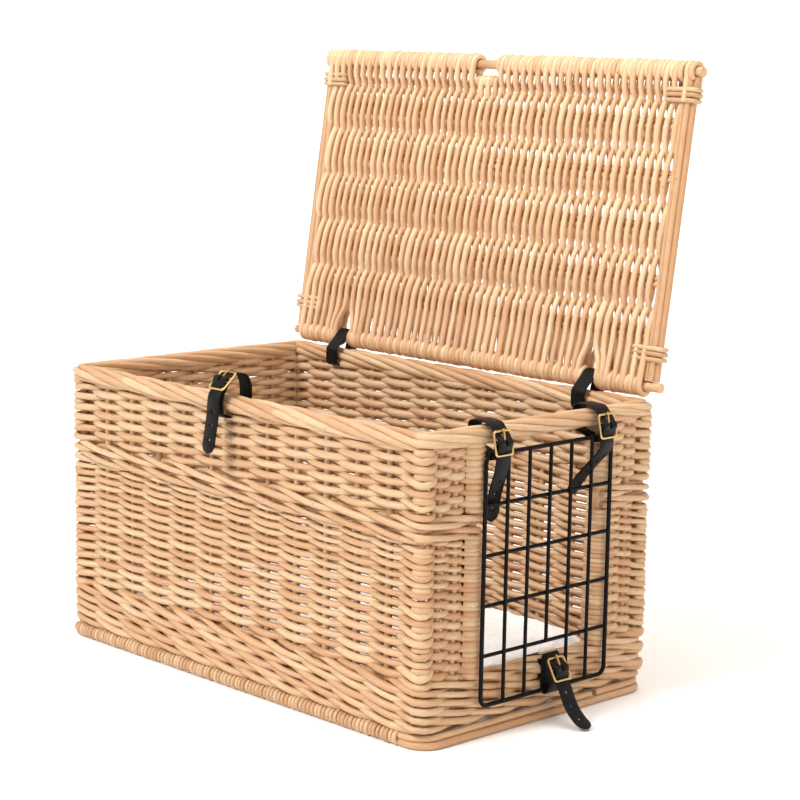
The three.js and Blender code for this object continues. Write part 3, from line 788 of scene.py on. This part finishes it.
# %% rim
rim_low, rim_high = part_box("rim_front")
rim_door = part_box("rim_door_end")
RIM_Z = (rim_low[2] + rim_high[2]) / 2 - 1.5 * MM
RIM_X = (rim_door[0][0] + rim_door[1][0]) / 2
RIM_Y = -(rim_low[1] + rim_high[1]) / 2
rim_line = loop(RIM_X + 1.5 * MM, RIM_Y + 1.5 * MM, 4 * MM, RIM_Z)
rim_core = grow(TWIST, [rim_line], True, Strands=1, Turn=1.0, Up=(0, 0, 1), Step=8 * MM, Out=0.0,
                Across=0.0, Radius=6.6 * MM, Rod_length=WHOLE, Sides=8)
rim_rods = grow(TWIST, [rim_line], True, Strands=6, Turn=path_length(rim_line, True) / 6,
                Up=(0, 0, 1), Step=7 * MM, Out=8.8 * MM, Across=6.4 * MM, Radius=4.0 * MM,
                Spread=0.12, Sides=8, Seed=41)
finish_piece("rim", [rim_core, rim_rods], "basket", ["rim_" + end for end in ENDS])

# %% [markdown]
# ## Base and lid
# Base and lid are woven the same way: a stick along each of two edges, and rods that go from
# one to the other, over and under the sticks between, and wrap round the edge stick at each end.
# The wraps are the ribs that show along the front of the base and the top of the lid.


# %% a leg that goes from stick to stick
def leg(near, far, crossed, edges, reach, slant, step):
    """A woven line in a flat panel: how far along, how far above the panel, how far sideways."""
    edge, far_edge = edges
    wrap = [radians(a) for a in range(0, 271, 30)]
    line = [(near - edge * sin(angle), edge * cos(angle), 0) for angle in reversed(wrap)]
    stops = [(near, edge)] + [(place, reach * (-1) ** k) for k, place in enumerate(crossed)]
    last = (-1) ** len(crossed)
    stops.append((far, far_edge * last))
    for (a, up_a), (b, up_b) in zip(stops, stops[1:]):
        count = max(3, round((b - a) / step))
        turn = (up_a - up_b) / (2 * reach)
        for j in range(1, count + 1):
            t = j / count
            line.append((a + (b - a) * t, up_a + (up_b - up_a) * ease(0.4 * t + 0.6 * ease(t)),
                         slant * turn * sin(pi * t)))
    return line + [(far + far_edge * sin(a), far_edge * last * cos(a), 0) for a in wrap[1:]]


# %% base
base_low, base_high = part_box("base_panel")
stick_low, stick_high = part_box("base_stick_front")
BASE_Z = (stick_low[2] + stick_high[2]) / 2
EDGE_Y = -(stick_low[1] + stick_high[1]) / 2
EDGE_R, LEG_R = 3.1 * MM, 2.7 * MM
FIRST_LEG, LEGS, EDGE_END, FAR_ROD = -284 * MM, 92, 266 * MM, -292.5 * MM
INNER_PITCH = 52 * MM
base_sticks = [INNER_PITCH * (k - 2.5) for k in range(6)]
flat = leg(-EDGE_Y, EDGE_Y, base_sticks, (EDGE_R + LEG_R,) * 2, 5.6 * MM, 1.2 * MM, 6 * MM)
base_leg = [(Vector((FIRST_LEG, along, BASE_Z)), Vector((side, 0, up)), 0.0) for along, up, side in flat]
base_legs = grow(ROWS, [base_leg], Rows=LEGS, Up=(1, 0, 0), First_pitch=6.0 * MM, Radius=LEG_R,
                 Seed=51, Rod_length=2.0)


def bars(end, places):
    """Sticks that lie along x, from the far end of the base."""
    return [straight((base_low[0], y, BASE_Z), (end, y, BASE_Z), 24) for y in places]


edge_sticks = sticks(bars(EDGE_END, (-EDGE_Y, EDGE_Y)), EDGE_R, Sides=10, Spread=0.05)
inner_sticks = sticks(bars(base_high[0], base_sticks), 3.0 * MM, Sides=8)
far_line = straight((FAR_ROD, -EDGE_Y, BASE_Z), (FAR_ROD, EDGE_Y, BASE_Z), 20)
far_rod = sticks([far_line], 6.0 * MM, Sides=10)


def corner_rod(side, x, z, end, bend=24 * MM, tail=24 * MM):
    """A rod that comes out from under the wraps, turns the corner and lies along the door end."""
    centre = Vector((x - bend, side * (EDGE_Y - bend), z))
    angles = [pi / 20 * k for k in range(11)]
    turn = [centre + Vector((sin(angle), side * cos(angle), 0)) * bend for angle in angles]
    start = straight((x - bend - tail, side * EDGE_Y, z), (x - bend, side * EDGE_Y, z), 4)[:-1]
    return start + turn + straight(turn[-1], (x, end, z), 12)[1:]


LOW_ROD, HIGH_ROD = (298.5 * MM, 4.4 * MM), (295.5 * MM, 11.6 * MM)
corner_lines = [corner_rod(-1, *LOW_ROD, 45 * MM), corner_rod(-1, *HIGH_ROD, 85 * MM),
                corner_rod(1, *LOW_ROD, 52 * MM), corner_rod(1, *HIGH_ROD, 92 * MM)]
corner_rods = grow(ROWS, corner_lines, Rows=1, Radius=3.9 * MM, Sides=10, Wander=0.5 * MM,
                   Rod_length=2.0)
finish_piece("base", [base_legs, edge_sticks, inner_sticks, far_rod, corner_rods], "basket",
             ["base_panel", "base_stick_front", "base_stick_back"])

# %% [markdown]
# ### The lid
# The lid stands open, so it is worked out in its own flat frame: x along the hinge, `reach` up
# the lid from the hinge, `face` out of its inner side. One function carries a point from there
# to where the lid stands.

# %% lid
JOINTS = {joint["name"]: joint for joint in frame["joints"]}
HINGE = JOINTS["lid_hinge"]
OPEN = radians(HINGE["range_deg"][1])
HINGE_LINE = Vector(HINGE["pos_m"])
REACH_WAY, FACE_WAY = Vector((0, -cos(OPEN), sin(OPEN))), Vector((0, -sin(OPEN), -cos(OPEN)))


def on_lid(x, reach, face):
    """A point of the lid: along the hinge, up the lid from it, and out of its inner face."""
    return HINGE_LINE + Vector((x, 0, 0)) + REACH_WAY * reach + FACE_WAY * face


front_low, front_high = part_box("lid_front_stick")
FAR = ((front_low + front_high) / 2 - HINGE_LINE).dot(REACH_WAY)
PAIRS = [FAR * k / 6 for k in range(1, 6)]
LID_R, STICK_R, PAIR_R = 3.75 * MM, 5.4 * MM, 3.3 * MM
WRAP_R = STICK_R + LID_R
LEG_X, PITCH = 281 * MM, 5.95 * MM
MOVED, CLEAR, CROWDED, FADE, GONE = 26 * MM, 11.2 * MM, 0.57, 12 * MM, 42 * MM
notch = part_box("latch_strap")
strap_x = (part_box("hinge_strap_right")[0][0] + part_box("hinge_strap_right")[1][0]) / 2
print("lid is", round(FAR, 4), "from the hinge to the front stick")


def parted(x, reach):
    """Legs lean away from a hinge strap, so that it can pass round the stick between them.

    Those within `MOVED` of the strap's middle crowd together outside `CLEAR`, and come back to
    their own places between `FADE` and `GONE` up the lid.
    """
    off = abs(x) - strap_x
    if abs(off) > MOVED:
        return x
    near = max(0.0, min(1.0, (GONE - reach) / (GONE - FADE)))
    clear = CLEAR + abs(off) * CROWDED
    side = 1 if off >= 0 else -1
    spread = off + (side * clear - off) * near * near * (3 - 2 * near)
    return (strap_x + spread) * (1 if x > 0 else -1)


# Legs in the latch's gap turn back before the front stick. The two legs past each end of the
# others only wrap the front stick.
GAP_LEG = (FAR - 20 * MM, 3.6 * MM)
lid_lines = []
for column in range(int(2 * LEG_X / PITCH) + 1):
    x, side = column * PITCH - LEG_X, (-1) ** column
    in_gap = notch[0][0] - 13 * MM < x < notch[1][0] + 4 * MM
    far, far_edge = GAP_LEG if in_gap else (FAR, WRAP_R)
    flat = leg(0.0, far, PAIRS, (WRAP_R, far_edge), 6.2 * MM, 1.9 * MM, 5 * MM)
    lid_lines.append([on_lid(parted(x, along) + shift * side, along, up * side)
                      for along, up, shift in flat])
for side in (-1, 1):
    for k, face in ((1, 1), (2, -1)):
        x = side * (LEG_X + k * PITCH)
        flat = [(FAR - 34 * MM + 4 * MM * j, 7.6 * MM) for j in range(8)]
        wrap = [radians(a) for a in range(0, 241, 30)]
        flat += [(FAR + WRAP_R * sin(angle), WRAP_R * cos(angle)) for angle in wrap]
        lid_lines.append([on_lid(x, along, up * face) for along, up in flat])
lid_legs = grow(ROWS, lid_lines, Rows=1, Radius=LID_R, Rod_length=2.0, Seed=61, Wander=1.3 * MM,
                Spread=0.34, Material=lid_willow_painted_paler)
PAIR_END = 286 * MM
pair_lines = [straight(on_lid(-PAIR_END, reach + off, 0), on_lid(PAIR_END, reach + off, 0), 24)
              for reach in PAIRS for off in (-3.6 * MM, 3.6 * MM)]
pairs = grow(ROWS, pair_lines, Rows=1, Radius=PAIR_R, Rod_length=2.0, Seed=62, Material=lid_willow_painted_paler)
finish_piece("lid_weave", [lid_legs, pairs], "lid", ["lid_weave"])

# %% lid sticks
x_left, x_right = front_low[0], front_high[0] + 3 * MM
BUNDLE = [(295.5, 0.5), (289.5, 3.4), (283.2, 2.6), (291.8, -3.4), (285.2, -3.0)]
BUNDLE_R, SHORT = 3.5 * MM, 6 * MM


def lid_bar(name, lines, radius, node, seed):
    finish_piece(name, [sticks(lines, radius, Sides=12, Spread=0.1, Seed=seed)], "lid", [node])


for end, reach in (("front", FAR), ("rear", 0.0)):
    bar = straight(on_lid(x_left, reach, 0), on_lid(x_right, reach, 0), 24)
    lid_bar(f"lid_{end}_rod", [bar], STICK_R, f"lid_{end}_stick", 63)
for side, name in ((-1, "left"), (1, "right")):
    bundle = [straight(on_lid(side * x * MM, SHORT, face * MM),
                       on_lid(side * x * MM, FAR - SHORT, face * MM), 20) for x, face in BUNDLE]
    lid_bar(f"lid_{name}_bundle", bundle, BUNDLE_R, f"lid_side_stick_{name}", 66 + side)


# %% corner lashings
LASHING_R, LASHING_PITCH = 2.6 * MM, 6 * MM


def lashing_ring(centre, reach, half_x, half_face, bend):
    """One round of a lashing: a rounded rectangle across the lid's side bundle."""
    ring = []
    for k in range(24):
        angle = 2 * pi * (k + 0.5) / 24
        turn = Vector((cos(angle), sin(angle)))
        x = centre + (half_x - bend) * (1 if turn.x > 0 else -1) + bend * turn.x
        face = (half_face - bend) * (1 if turn.y > 0 else -1) + bend * turn.y
        ring.append(on_lid(x, reach, face))
    return ring


for end in ("front", "rear"):
    for side, name in ((-1, "left"), (1, "right")):
        node = f"lid_lashing_{end}_{name}"
        low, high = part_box(node)
        centre = (low + high) / 2
        reach = (centre - HINGE_LINE).dot(REACH_WAY) - LASHING_PITCH
        ring = lashing_ring(centre.x, reach, (high[0] - low[0]) / 2 - 2.2 * MM, 7.4 * MM, 4 * MM)
        lashing = grow(ROWS, [ring], True, Rows=3, Up=tuple(REACH_WAY), First_pitch=LASHING_PITCH,
                       Radius=LASHING_R, Sides=8, Seed=70 + side, Rod_length=0.09, Wander=0.5 * MM)
        finish_piece(f"lashing_{end}_{name}", [lashing], "lid", [node])

# %% [markdown]
# ## Straps
# Each strap is a strip of harness leather, cut from a hide, creased along both edges with a hot
# iron, and punched. A strip's section is drawn once, with the creases in it, and carried along
# the strap's line. Its free end is rounded. The holes are cut right through.


# %% strap lines
# The spots of a strap's line are in millimetres, from the prong's pivot for the fold and the
# thread through the buckle, and from the origin for the rest.
THICK, HALF_WIDTH = 1.8 * MM, 10 * MM
SMOOTHING = 5
FOLD = [(1.6, 1.75), (0, 2.3), (-1.65, 1.6), (-2.3, 0), (-1.65, -1.65), (0, -2.4), (4, -3.6), (8, -5.2)]
THREAD = [(-12.5, -2.5), (-6, 1), (0, 4.5), (6, 1.4), (12.5, -2.5)]


def smooth_line(points):
    """A curve through the points, by the Catmull-Rom rule."""
    line = []
    for a, b, c, d in zip(points[:1] + points, points, points[1:], points[2:] + points[-1:]):
        for k in range(SMOOTHING):
            t = k / SMOOTHING
            line.append(0.5 * (2 * b + (c - a) * t + (2 * a - 5 * b + 4 * c - d) * t * t
                               + (3 * b - a - 3 * c + d) * t ** 3))
    return line + [points[-1]]


def buckled_line(seat, run, side, round_it, tongue):
    """The flat line of a strap: its fold on the buckle, its way round, the buckle again, the tip."""
    out = Vector((-side * run.y, side * run.x))

    def by_buckle(spots):
        return [seat + run * a + out * b for a, b in spots]

    return smooth_line([*by_buckle(FOLD), *map(Vector, round_it), *by_buckle(THREAD),
                        *map(Vector, tongue)])


def standing(axis, place, flat):
    """A flat point stood up: in the plane across axis 0, which is x, or across axis 1, which is y."""
    return Vector((place, flat.x, flat.y)) if axis == 0 else Vector((flat.x, place, flat.y))


# %% a strip of leather
SECTION = [(-1.0, 0.15), (-0.985, 0.36), (-0.94, 0.48), (-0.86, 0.5), (-0.815, 0.3), (-0.77, 0.5),
           (-0.3, 0.55), (0.3, 0.55), (0.77, 0.5), (0.815, 0.3), (0.86, 0.5), (0.94, 0.48), (0.985, 0.36),
           (1.0, 0.15), (1.0, -0.25), (0.96, -0.5), (0.0, -0.5), (-0.96, -0.5), (-1.0, -0.25)]
WIDTH_WAY = [Vector((1, 0, 0)), Vector((0, 1, 0))]
NARROWEST = 0.12


def strip(name, line, axis, closed=False, flip=1):
    """Carries the section along a line. `flip` says which side of the line the grain is on."""
    mesh = bmesh.new()
    gone = [0.0]
    for a, b in zip(line, line[1:]):
        gone.append(gone[-1] + (b - a).length)
    if closed:
        befores, afters = line[-1:] + line[:-1], line[1:] + line[:1]
    else:
        befores, afters = line[:1] + line[:-1], line[1:] + line[-1:]
    rings = []
    for point, before, after, walked in zip(line, befores, afters, gone):
        ahead = (after - before).normalized()
        out = WIDTH_WAY[axis].cross(ahead).normalized() * flip
        across = ahead.cross(out)
        width = HALF_WIDTH
        left = gone[-1] - walked
        if not closed and left < HALF_WIDTH:
            width *= max(NARROWEST, (1 - (1 - left / HALF_WIDTH) ** 2) ** 0.5)
        rings.append([mesh.verts.new(point + across * u * width + out * v * THICK) for u, v in SECTION])
    size = len(SECTION)
    for a, b in zip(rings, rings[1:] + rings[:1] if closed else rings[1:]):
        for j in range(size):
            mesh.faces.new((a[j], a[(j + 1) % size], b[(j + 1) % size], b[j]))
    if not closed:
        mesh.faces.new(rings[0])
        mesh.faces.new(list(reversed(rings[-1])))
    bmesh.ops.recalc_face_normals(mesh, faces=mesh.faces)
    data = bpy.data.meshes.new(name)
    mesh.to_mesh(data)
    mesh.free()
    data.materials.append(leather_finish)
    for face in data.polygons:
        face.use_smooth = len(face.vertices) == 4
    return as_object(name, data)


def cut_out(piece, tools):
    """Cuts the tools' shapes from a piece."""
    for cutter in tools:
        modifier = piece.modifiers.new("cut", "BOOLEAN")
        modifier.object, modifier.operation, modifier.solver = cutter, "DIFFERENCE", "EXACT"
    graph = bpy.context.evaluated_depsgraph_get()
    data = bpy.data.meshes.new_from_object(piece.evaluated_get(graph), depsgraph=graph)
    piece.modifiers.clear()
    piece.data = data
    for cutter in tools:
        bpy.data.objects.remove(cutter)


def tool(size, frame_at, round_sides=0):
    """A cutting block, or a round punch along its own z."""
    mesh = bmesh.new()
    if round_sides:
        bmesh.ops.create_cone(mesh, cap_ends=True, segments=round_sides, radius1=size[0],
                              radius2=size[0], depth=size[2])
    else:
        bmesh.ops.create_cube(mesh, size=1.0, matrix=Matrix.Diagonal((*size, 1)))
    mesh.transform(frame_at)
    data = bpy.data.meshes.new("tool")
    mesh.to_mesh(data)
    mesh.free()
    return as_object("tool", data)


def placed(centre, along, width_way):
    """The frame of a cutting tool: x along the strap, y across it, z out of it."""
    turned = Matrix((along, width_way, along.cross(width_way))).transposed().to_4x4()
    return Matrix.Translation(centre) @ turned


HOLES = [15 * MM, 31 * MM, 47 * MM]
PUNCH = (1.7 * MM, 0, 6 * MM)
SLOT_SIZE, SLOT_BACK = (12.9 * MM, 3.6 * MM, 14 * MM), 3.05 * MM
LEAN_FROM = 285 * MM


def buckled_strap(name, node, body, prong, axis, run, side, round_it, tongue, lean=0.0):
    """A strap with its buckle slot and punched holes, in the upright plane of its buckle.

    `run` is the way the buckle points, and `side`, 1 or -1, says which side of it faces out.
    A tongue that hangs may `lean` to one side.
    """
    pivot = JOINTS[prong + "_prong_lift"]["pos_m"]
    place, seat = pivot[axis], Vector((pivot[1 - axis], pivot[2])) / MM
    run = Vector(run).normalized()
    flat = buckled_line(seat, run, side, round_it, tongue)
    line = [standing(axis, place, p * MM) for p in flat]
    for point in line[-SMOOTHING * len(tongue):]:
        point.y -= lean * max(0.0, LEAN_FROM - point.z)
    piece = strip(name, line, axis, flip=-side if axis == 0 else side)
    along = standing(axis, 0.0, run)
    slot_at = placed(standing(axis, place, seat * MM) - along * SLOT_BACK, along, WIDTH_WAY[axis])
    tools = [tool(SLOT_SIZE, slot_at)]
    gone, wanted = 0.0, list(HOLES)
    for a, b in zip(reversed(line[1:]), reversed(line[:-1])):
        step = (b - a).length
        while wanted and wanted[0] < gone + step:
            spot = a.lerp(b, (wanted.pop(0) - gone) / step)
            tools.append(tool(PUNCH, placed(spot, (b - a).normalized(), WIDTH_WAY[axis]), 12))
        gone += step
    cut_out(piece, tools)
    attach(piece, body)
    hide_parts(node)
    print(f"{name}: {gone / MM:.0f} mm long, {len(HOLES)} holes")


# %% the straps
buckled_strap("latch_leather", "latch_strap", "basket", "latch", 0, (-0.75, -0.66), -1,
              [(-185.2, 329), (-186.6, 320), (-185.8, 310), (-181.5, 304.4), (-166, 303.6),
               (-152, 304.2), (-147.2, 309), (-146.5, 322), (-146.9, 336), (-151.5, 346.3),
               (-160, 350.3)],
              [(-191.2, 325), (-193, 306), (-196.6, 285), (-200, 265)])
HANGER_ROUND = [(308.9, 301), (308.4, 296.6), (304.4, 293.8), (297, 295.6), (286, 300.4),
                (276.4, 303.4), (271.7, 308.6), (271.4, 320), (273, 328.6), (279.5, 331.3),
                (292, 331.3), (301, 329.8)]
HANGER_RUN = (0.2, -0.98)
buckled_strap("hanger_front_leather", "hanger_strap_front", "basket", "hanger_front", 1,
              HANGER_RUN, 1, HANGER_ROUND,
              [(312.6, 292), (310.2, 281), (304.6, 267), (299, 250), (295, 226)], lean=-0.06)
buckled_strap("hanger_back_leather", "hanger_strap_back", "basket", "hanger_back", 1,
              HANGER_RUN, 1, HANGER_ROUND,
              [(312.2, 291), (307.5, 280.5), (298, 268), (287, 251), (279.5, 234)], lean=0.4)
buckled_strap("door_leather", "door_strap", "door", "door", 1, (0.5, -0.87), 1,
              [(313, 41.5), (309.4, 34.4), (305.2, 30.8), (301.3, 33), (300.5, 42), (300.4, 58),
               (300.8, 69), (303.6, 73.4), (307, 71.6)],
              [(326.5, 38), (331.5, 28), (338, 18.5), (348.5, 9.4), (360.5, 3.4)])


# %% plain loops
def hull_loop(circles, slack):
    """The tight line round some circles, a little outside them."""
    spots = []
    for u, v, radius in circles:
        for k in range(48):
            angle = 2 * pi * k / 48
            spots.append(Vector((u + (radius + slack) * cos(angle), v + (radius + slack) * sin(angle))))
    spots.sort(key=lambda p: (p.x, p.y))
    sides = []
    for order in (spots, spots[::-1]):
        side = []
        for p in order:
            while len(side) > 1 and (side[-1] - side[-2]).cross(p - side[-1]) <= 1e-9:
                side.pop()
            side.append(p)
        sides += side[:-1]
    dense = []
    for a, b in zip(sides, sides[1:] + sides[:1]):
        parts = max(1, round((b - a).length / 3))
        dense += [a.lerp(b, k / parts) for k in range(parts)]
    return [p * MM for p in dense]


def plain_loop(name, node, axis, circles):
    """A strap sewn into a loop, tight round circles in its own plane."""
    low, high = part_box(node)
    place = (low[axis] + high[axis]) / 2
    line = [standing(axis, place, p) for p in hull_loop(circles, 0.5 + THICK / MM / 2)]
    piece = strip(name, line, axis, closed=True, flip=-1 if axis == 0 else 1)
    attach(piece, "basket")
    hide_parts(node)
    print(name, len(line), "points round")


rim_corners = [(y, z, 5) for y in (159, 175) for z in (313, 325)]
rear_stick = (HINGE_LINE.y / MM, HINGE_LINE.z / MM, 7.75)
for side in ("left", "right"):
    plain_loop(f"hinge_{side}_leather", f"hinge_strap_{side}", 0, [*rim_corners, rear_stick])
plain_loop("sill_leather", "sill_loop", 1, [(x, z, 1) for x in (278, 294) for z in (47.2, 63)])

# %% [markdown]
# ## The wire door
# One stout wire is bent round into a frame with rounded corners. Thinner wires are welded to it,
# the uprights in front and the cross wires behind. A dipped coat of black plastic makes each of
# them a little thicker. The middle upright stops one square short, where the strap goes through.


# %% wire door
door_low, door_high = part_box("door_grille")
DOOR_X = (door_low[0] + door_high[0]) / 2
BARE_WIRE, FRAME_WIRE, GRID_WIRE, APART = 2.0 * MM, 2.35 * MM, 2.05 * MM, 1.2 * MM
COLUMNS, SQUARES = 6, 5
DOOR_Y, DOOR_Z = [(door_high[axis] - door_low[axis]) / 2 - BARE_WIRE for axis in (1, 2)]
door_middle = (door_low[2] + door_high[2]) / 2
door_top, door_foot = door_middle + DOOR_Z, door_middle - DOOR_Z
square = 2 * DOOR_Z / SQUARES


def wire(lines, radius, closed=False):
    return grow(ROWS, lines, closed, Rows=1, Radius=radius, Spread=0.0, Taper=0.0, Wander=0.25 * MM,
                Sides=10, Rod_length=WHOLE, Material=wire_finish)


frame_line = [Vector((DOOR_X, p.x, door_middle + p.y)) for p in loop(DOOR_Y, DOOR_Z, 9 * MM, 0)]
grid = []
for k in range(1, COLUMNS):
    x, y = DOOR_X + APART, DOOR_Y * (2 * k / COLUMNS - 1)
    foot = door_foot + (square if 2 * k == COLUMNS else 0)
    grid.append(straight((x, y, door_top), (x, y, foot), 12))
for k in range(1, SQUARES):
    x, z = DOOR_X - APART, door_top - square * k
    grid.append(straight((x, -DOOR_Y, z), (x, DOOR_Y, z), 12))
finish_piece("wire_door", [wire([frame_line], FRAME_WIRE, True), wire(grid, GRID_WIRE)],
             "door", ["door_grille"])

# %% [markdown]
# ## Metal
# The buckles and their prongs are right as the CAD has them, so they keep their shape and only
# get their finish.

# %% metal finishes
for name, node in frame["nodes"].items():
    if name.endswith(("_buckle", "_prong")):
        for slot in node.material_slots:
            slot.material = brass_finish
        print(name, "is brass")

# %% [markdown]
# ## The cushion
# A flat cushion in a fleece cover. Stuffing pushes the cover out in the middle and the seams
# pull it in, so the sides curve in between the corners. Cloth under pressure does that by
# itself: the starting shape is a thin box a little smaller than the cushion, and a few
# frames of pressure round it out. The tufts come last, as small moves of each point.


# %% cushion
PINCH, THINNING = 0.05, 0.55


def cushion_start(low, high, shrink):
    """A closed box, pulled in a little along its sides and crowned a little already."""
    mesh = bmesh.new()
    bmesh.ops.create_cube(mesh, size=1.0)
    bmesh.ops.subdivide_edges(mesh, edges=mesh.edges, cuts=11, use_grid_fill=True)
    centre, size = (low + high) / 2, (high - low)
    for vert in mesh.verts:
        x, y, z = vert.co * 2
        pinch = 1 - PINCH * (1 - y * y) * abs(x) ** 4
        pull = 1 - PINCH * (1 - x * x) * abs(y) ** 4
        crown = (1 - abs(x) ** 5 * THINNING) * (1 - abs(y) ** 5 * THINNING)
        vert.co = Vector((x * pinch * (size.x / 2 - shrink), y * pull * (size.y / 2 - shrink),
                          z * crown * (size.z / 2 - shrink))) + centre
    data = bpy.data.meshes.new("cushion")
    mesh.to_mesh(data)
    mesh.free()
    return as_object("fleece_cushion", data)


def keep(piece, kind, **settings):
    """Adds a modifier and keeps its result in the mesh."""
    modifier = piece.modifiers.new(kind.lower(), kind)
    for name, value in settings.items():
        setattr(modifier, name, value)
    graph = bpy.context.evaluated_depsgraph_get()
    data = bpy.data.meshes.new_from_object(piece.evaluated_get(graph), depsgraph=graph)
    piece.modifiers.clear()
    piece.data = data


def puff(piece, frames, limit):
    """Blows a closed piece up as cloth, and lets no point move further than the limit."""
    start = [vert.co.copy() for vert in piece.data.vertices]
    cloth = piece.modifiers.new("cloth", "CLOTH")
    cloth.settings.quality = 4
    cloth.settings.use_pressure, cloth.settings.uniform_pressure_force = True, 4.0
    cloth.settings.effector_weights.gravity = 0
    cloth.settings.tension_stiffness = cloth.settings.compression_stiffness = 25
    for number in range(1, frames + 1):
        scene.frame_set(number)
    graph = bpy.context.evaluated_depsgraph_get()
    blown = [vert.co.copy() for vert in piece.evaluated_get(graph).data.vertices]
    piece.modifiers.clear()
    scene.frame_set(1)
    for vert, before, after in zip(piece.data.vertices, start, blown):
        move = after - before
        vert.co = before + (move if move.length < limit else move.normalized() * limit)


# %% the cushion, blown up and tufted
cushion_low, cushion_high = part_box("cushion")
cushion = cushion_start(cushion_low, cushion_high, 7 * MM)
keep(cushion, "REMESH", mode="VOXEL", voxel_size=5 * MM)
puff(cushion, 20, 9 * MM)
keep(cushion, "SUBSURF", levels=1, render_levels=1)
outwards = [vert.normal.copy() for vert in cushion.data.vertices]
for vert, out in zip(cushion.data.vertices, outwards):
    tuft = noise.noise(vert.co * 210) * 1.3 * MM + noise.noise(vert.co * 90) * 1.2 * MM
    place = vert.co + out * tuft
    vert.co = (place.x, place.y, max(place.z, cushion_low.z + 0.2 * MM))
cushion.data.shade_smooth()
cushion.data.materials.clear()
cushion.data.materials.append(fleece_and_glow_finish)
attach(cushion, "basket")
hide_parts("cushion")
print("cushion:", len(cushion.data.polygons), "faces")
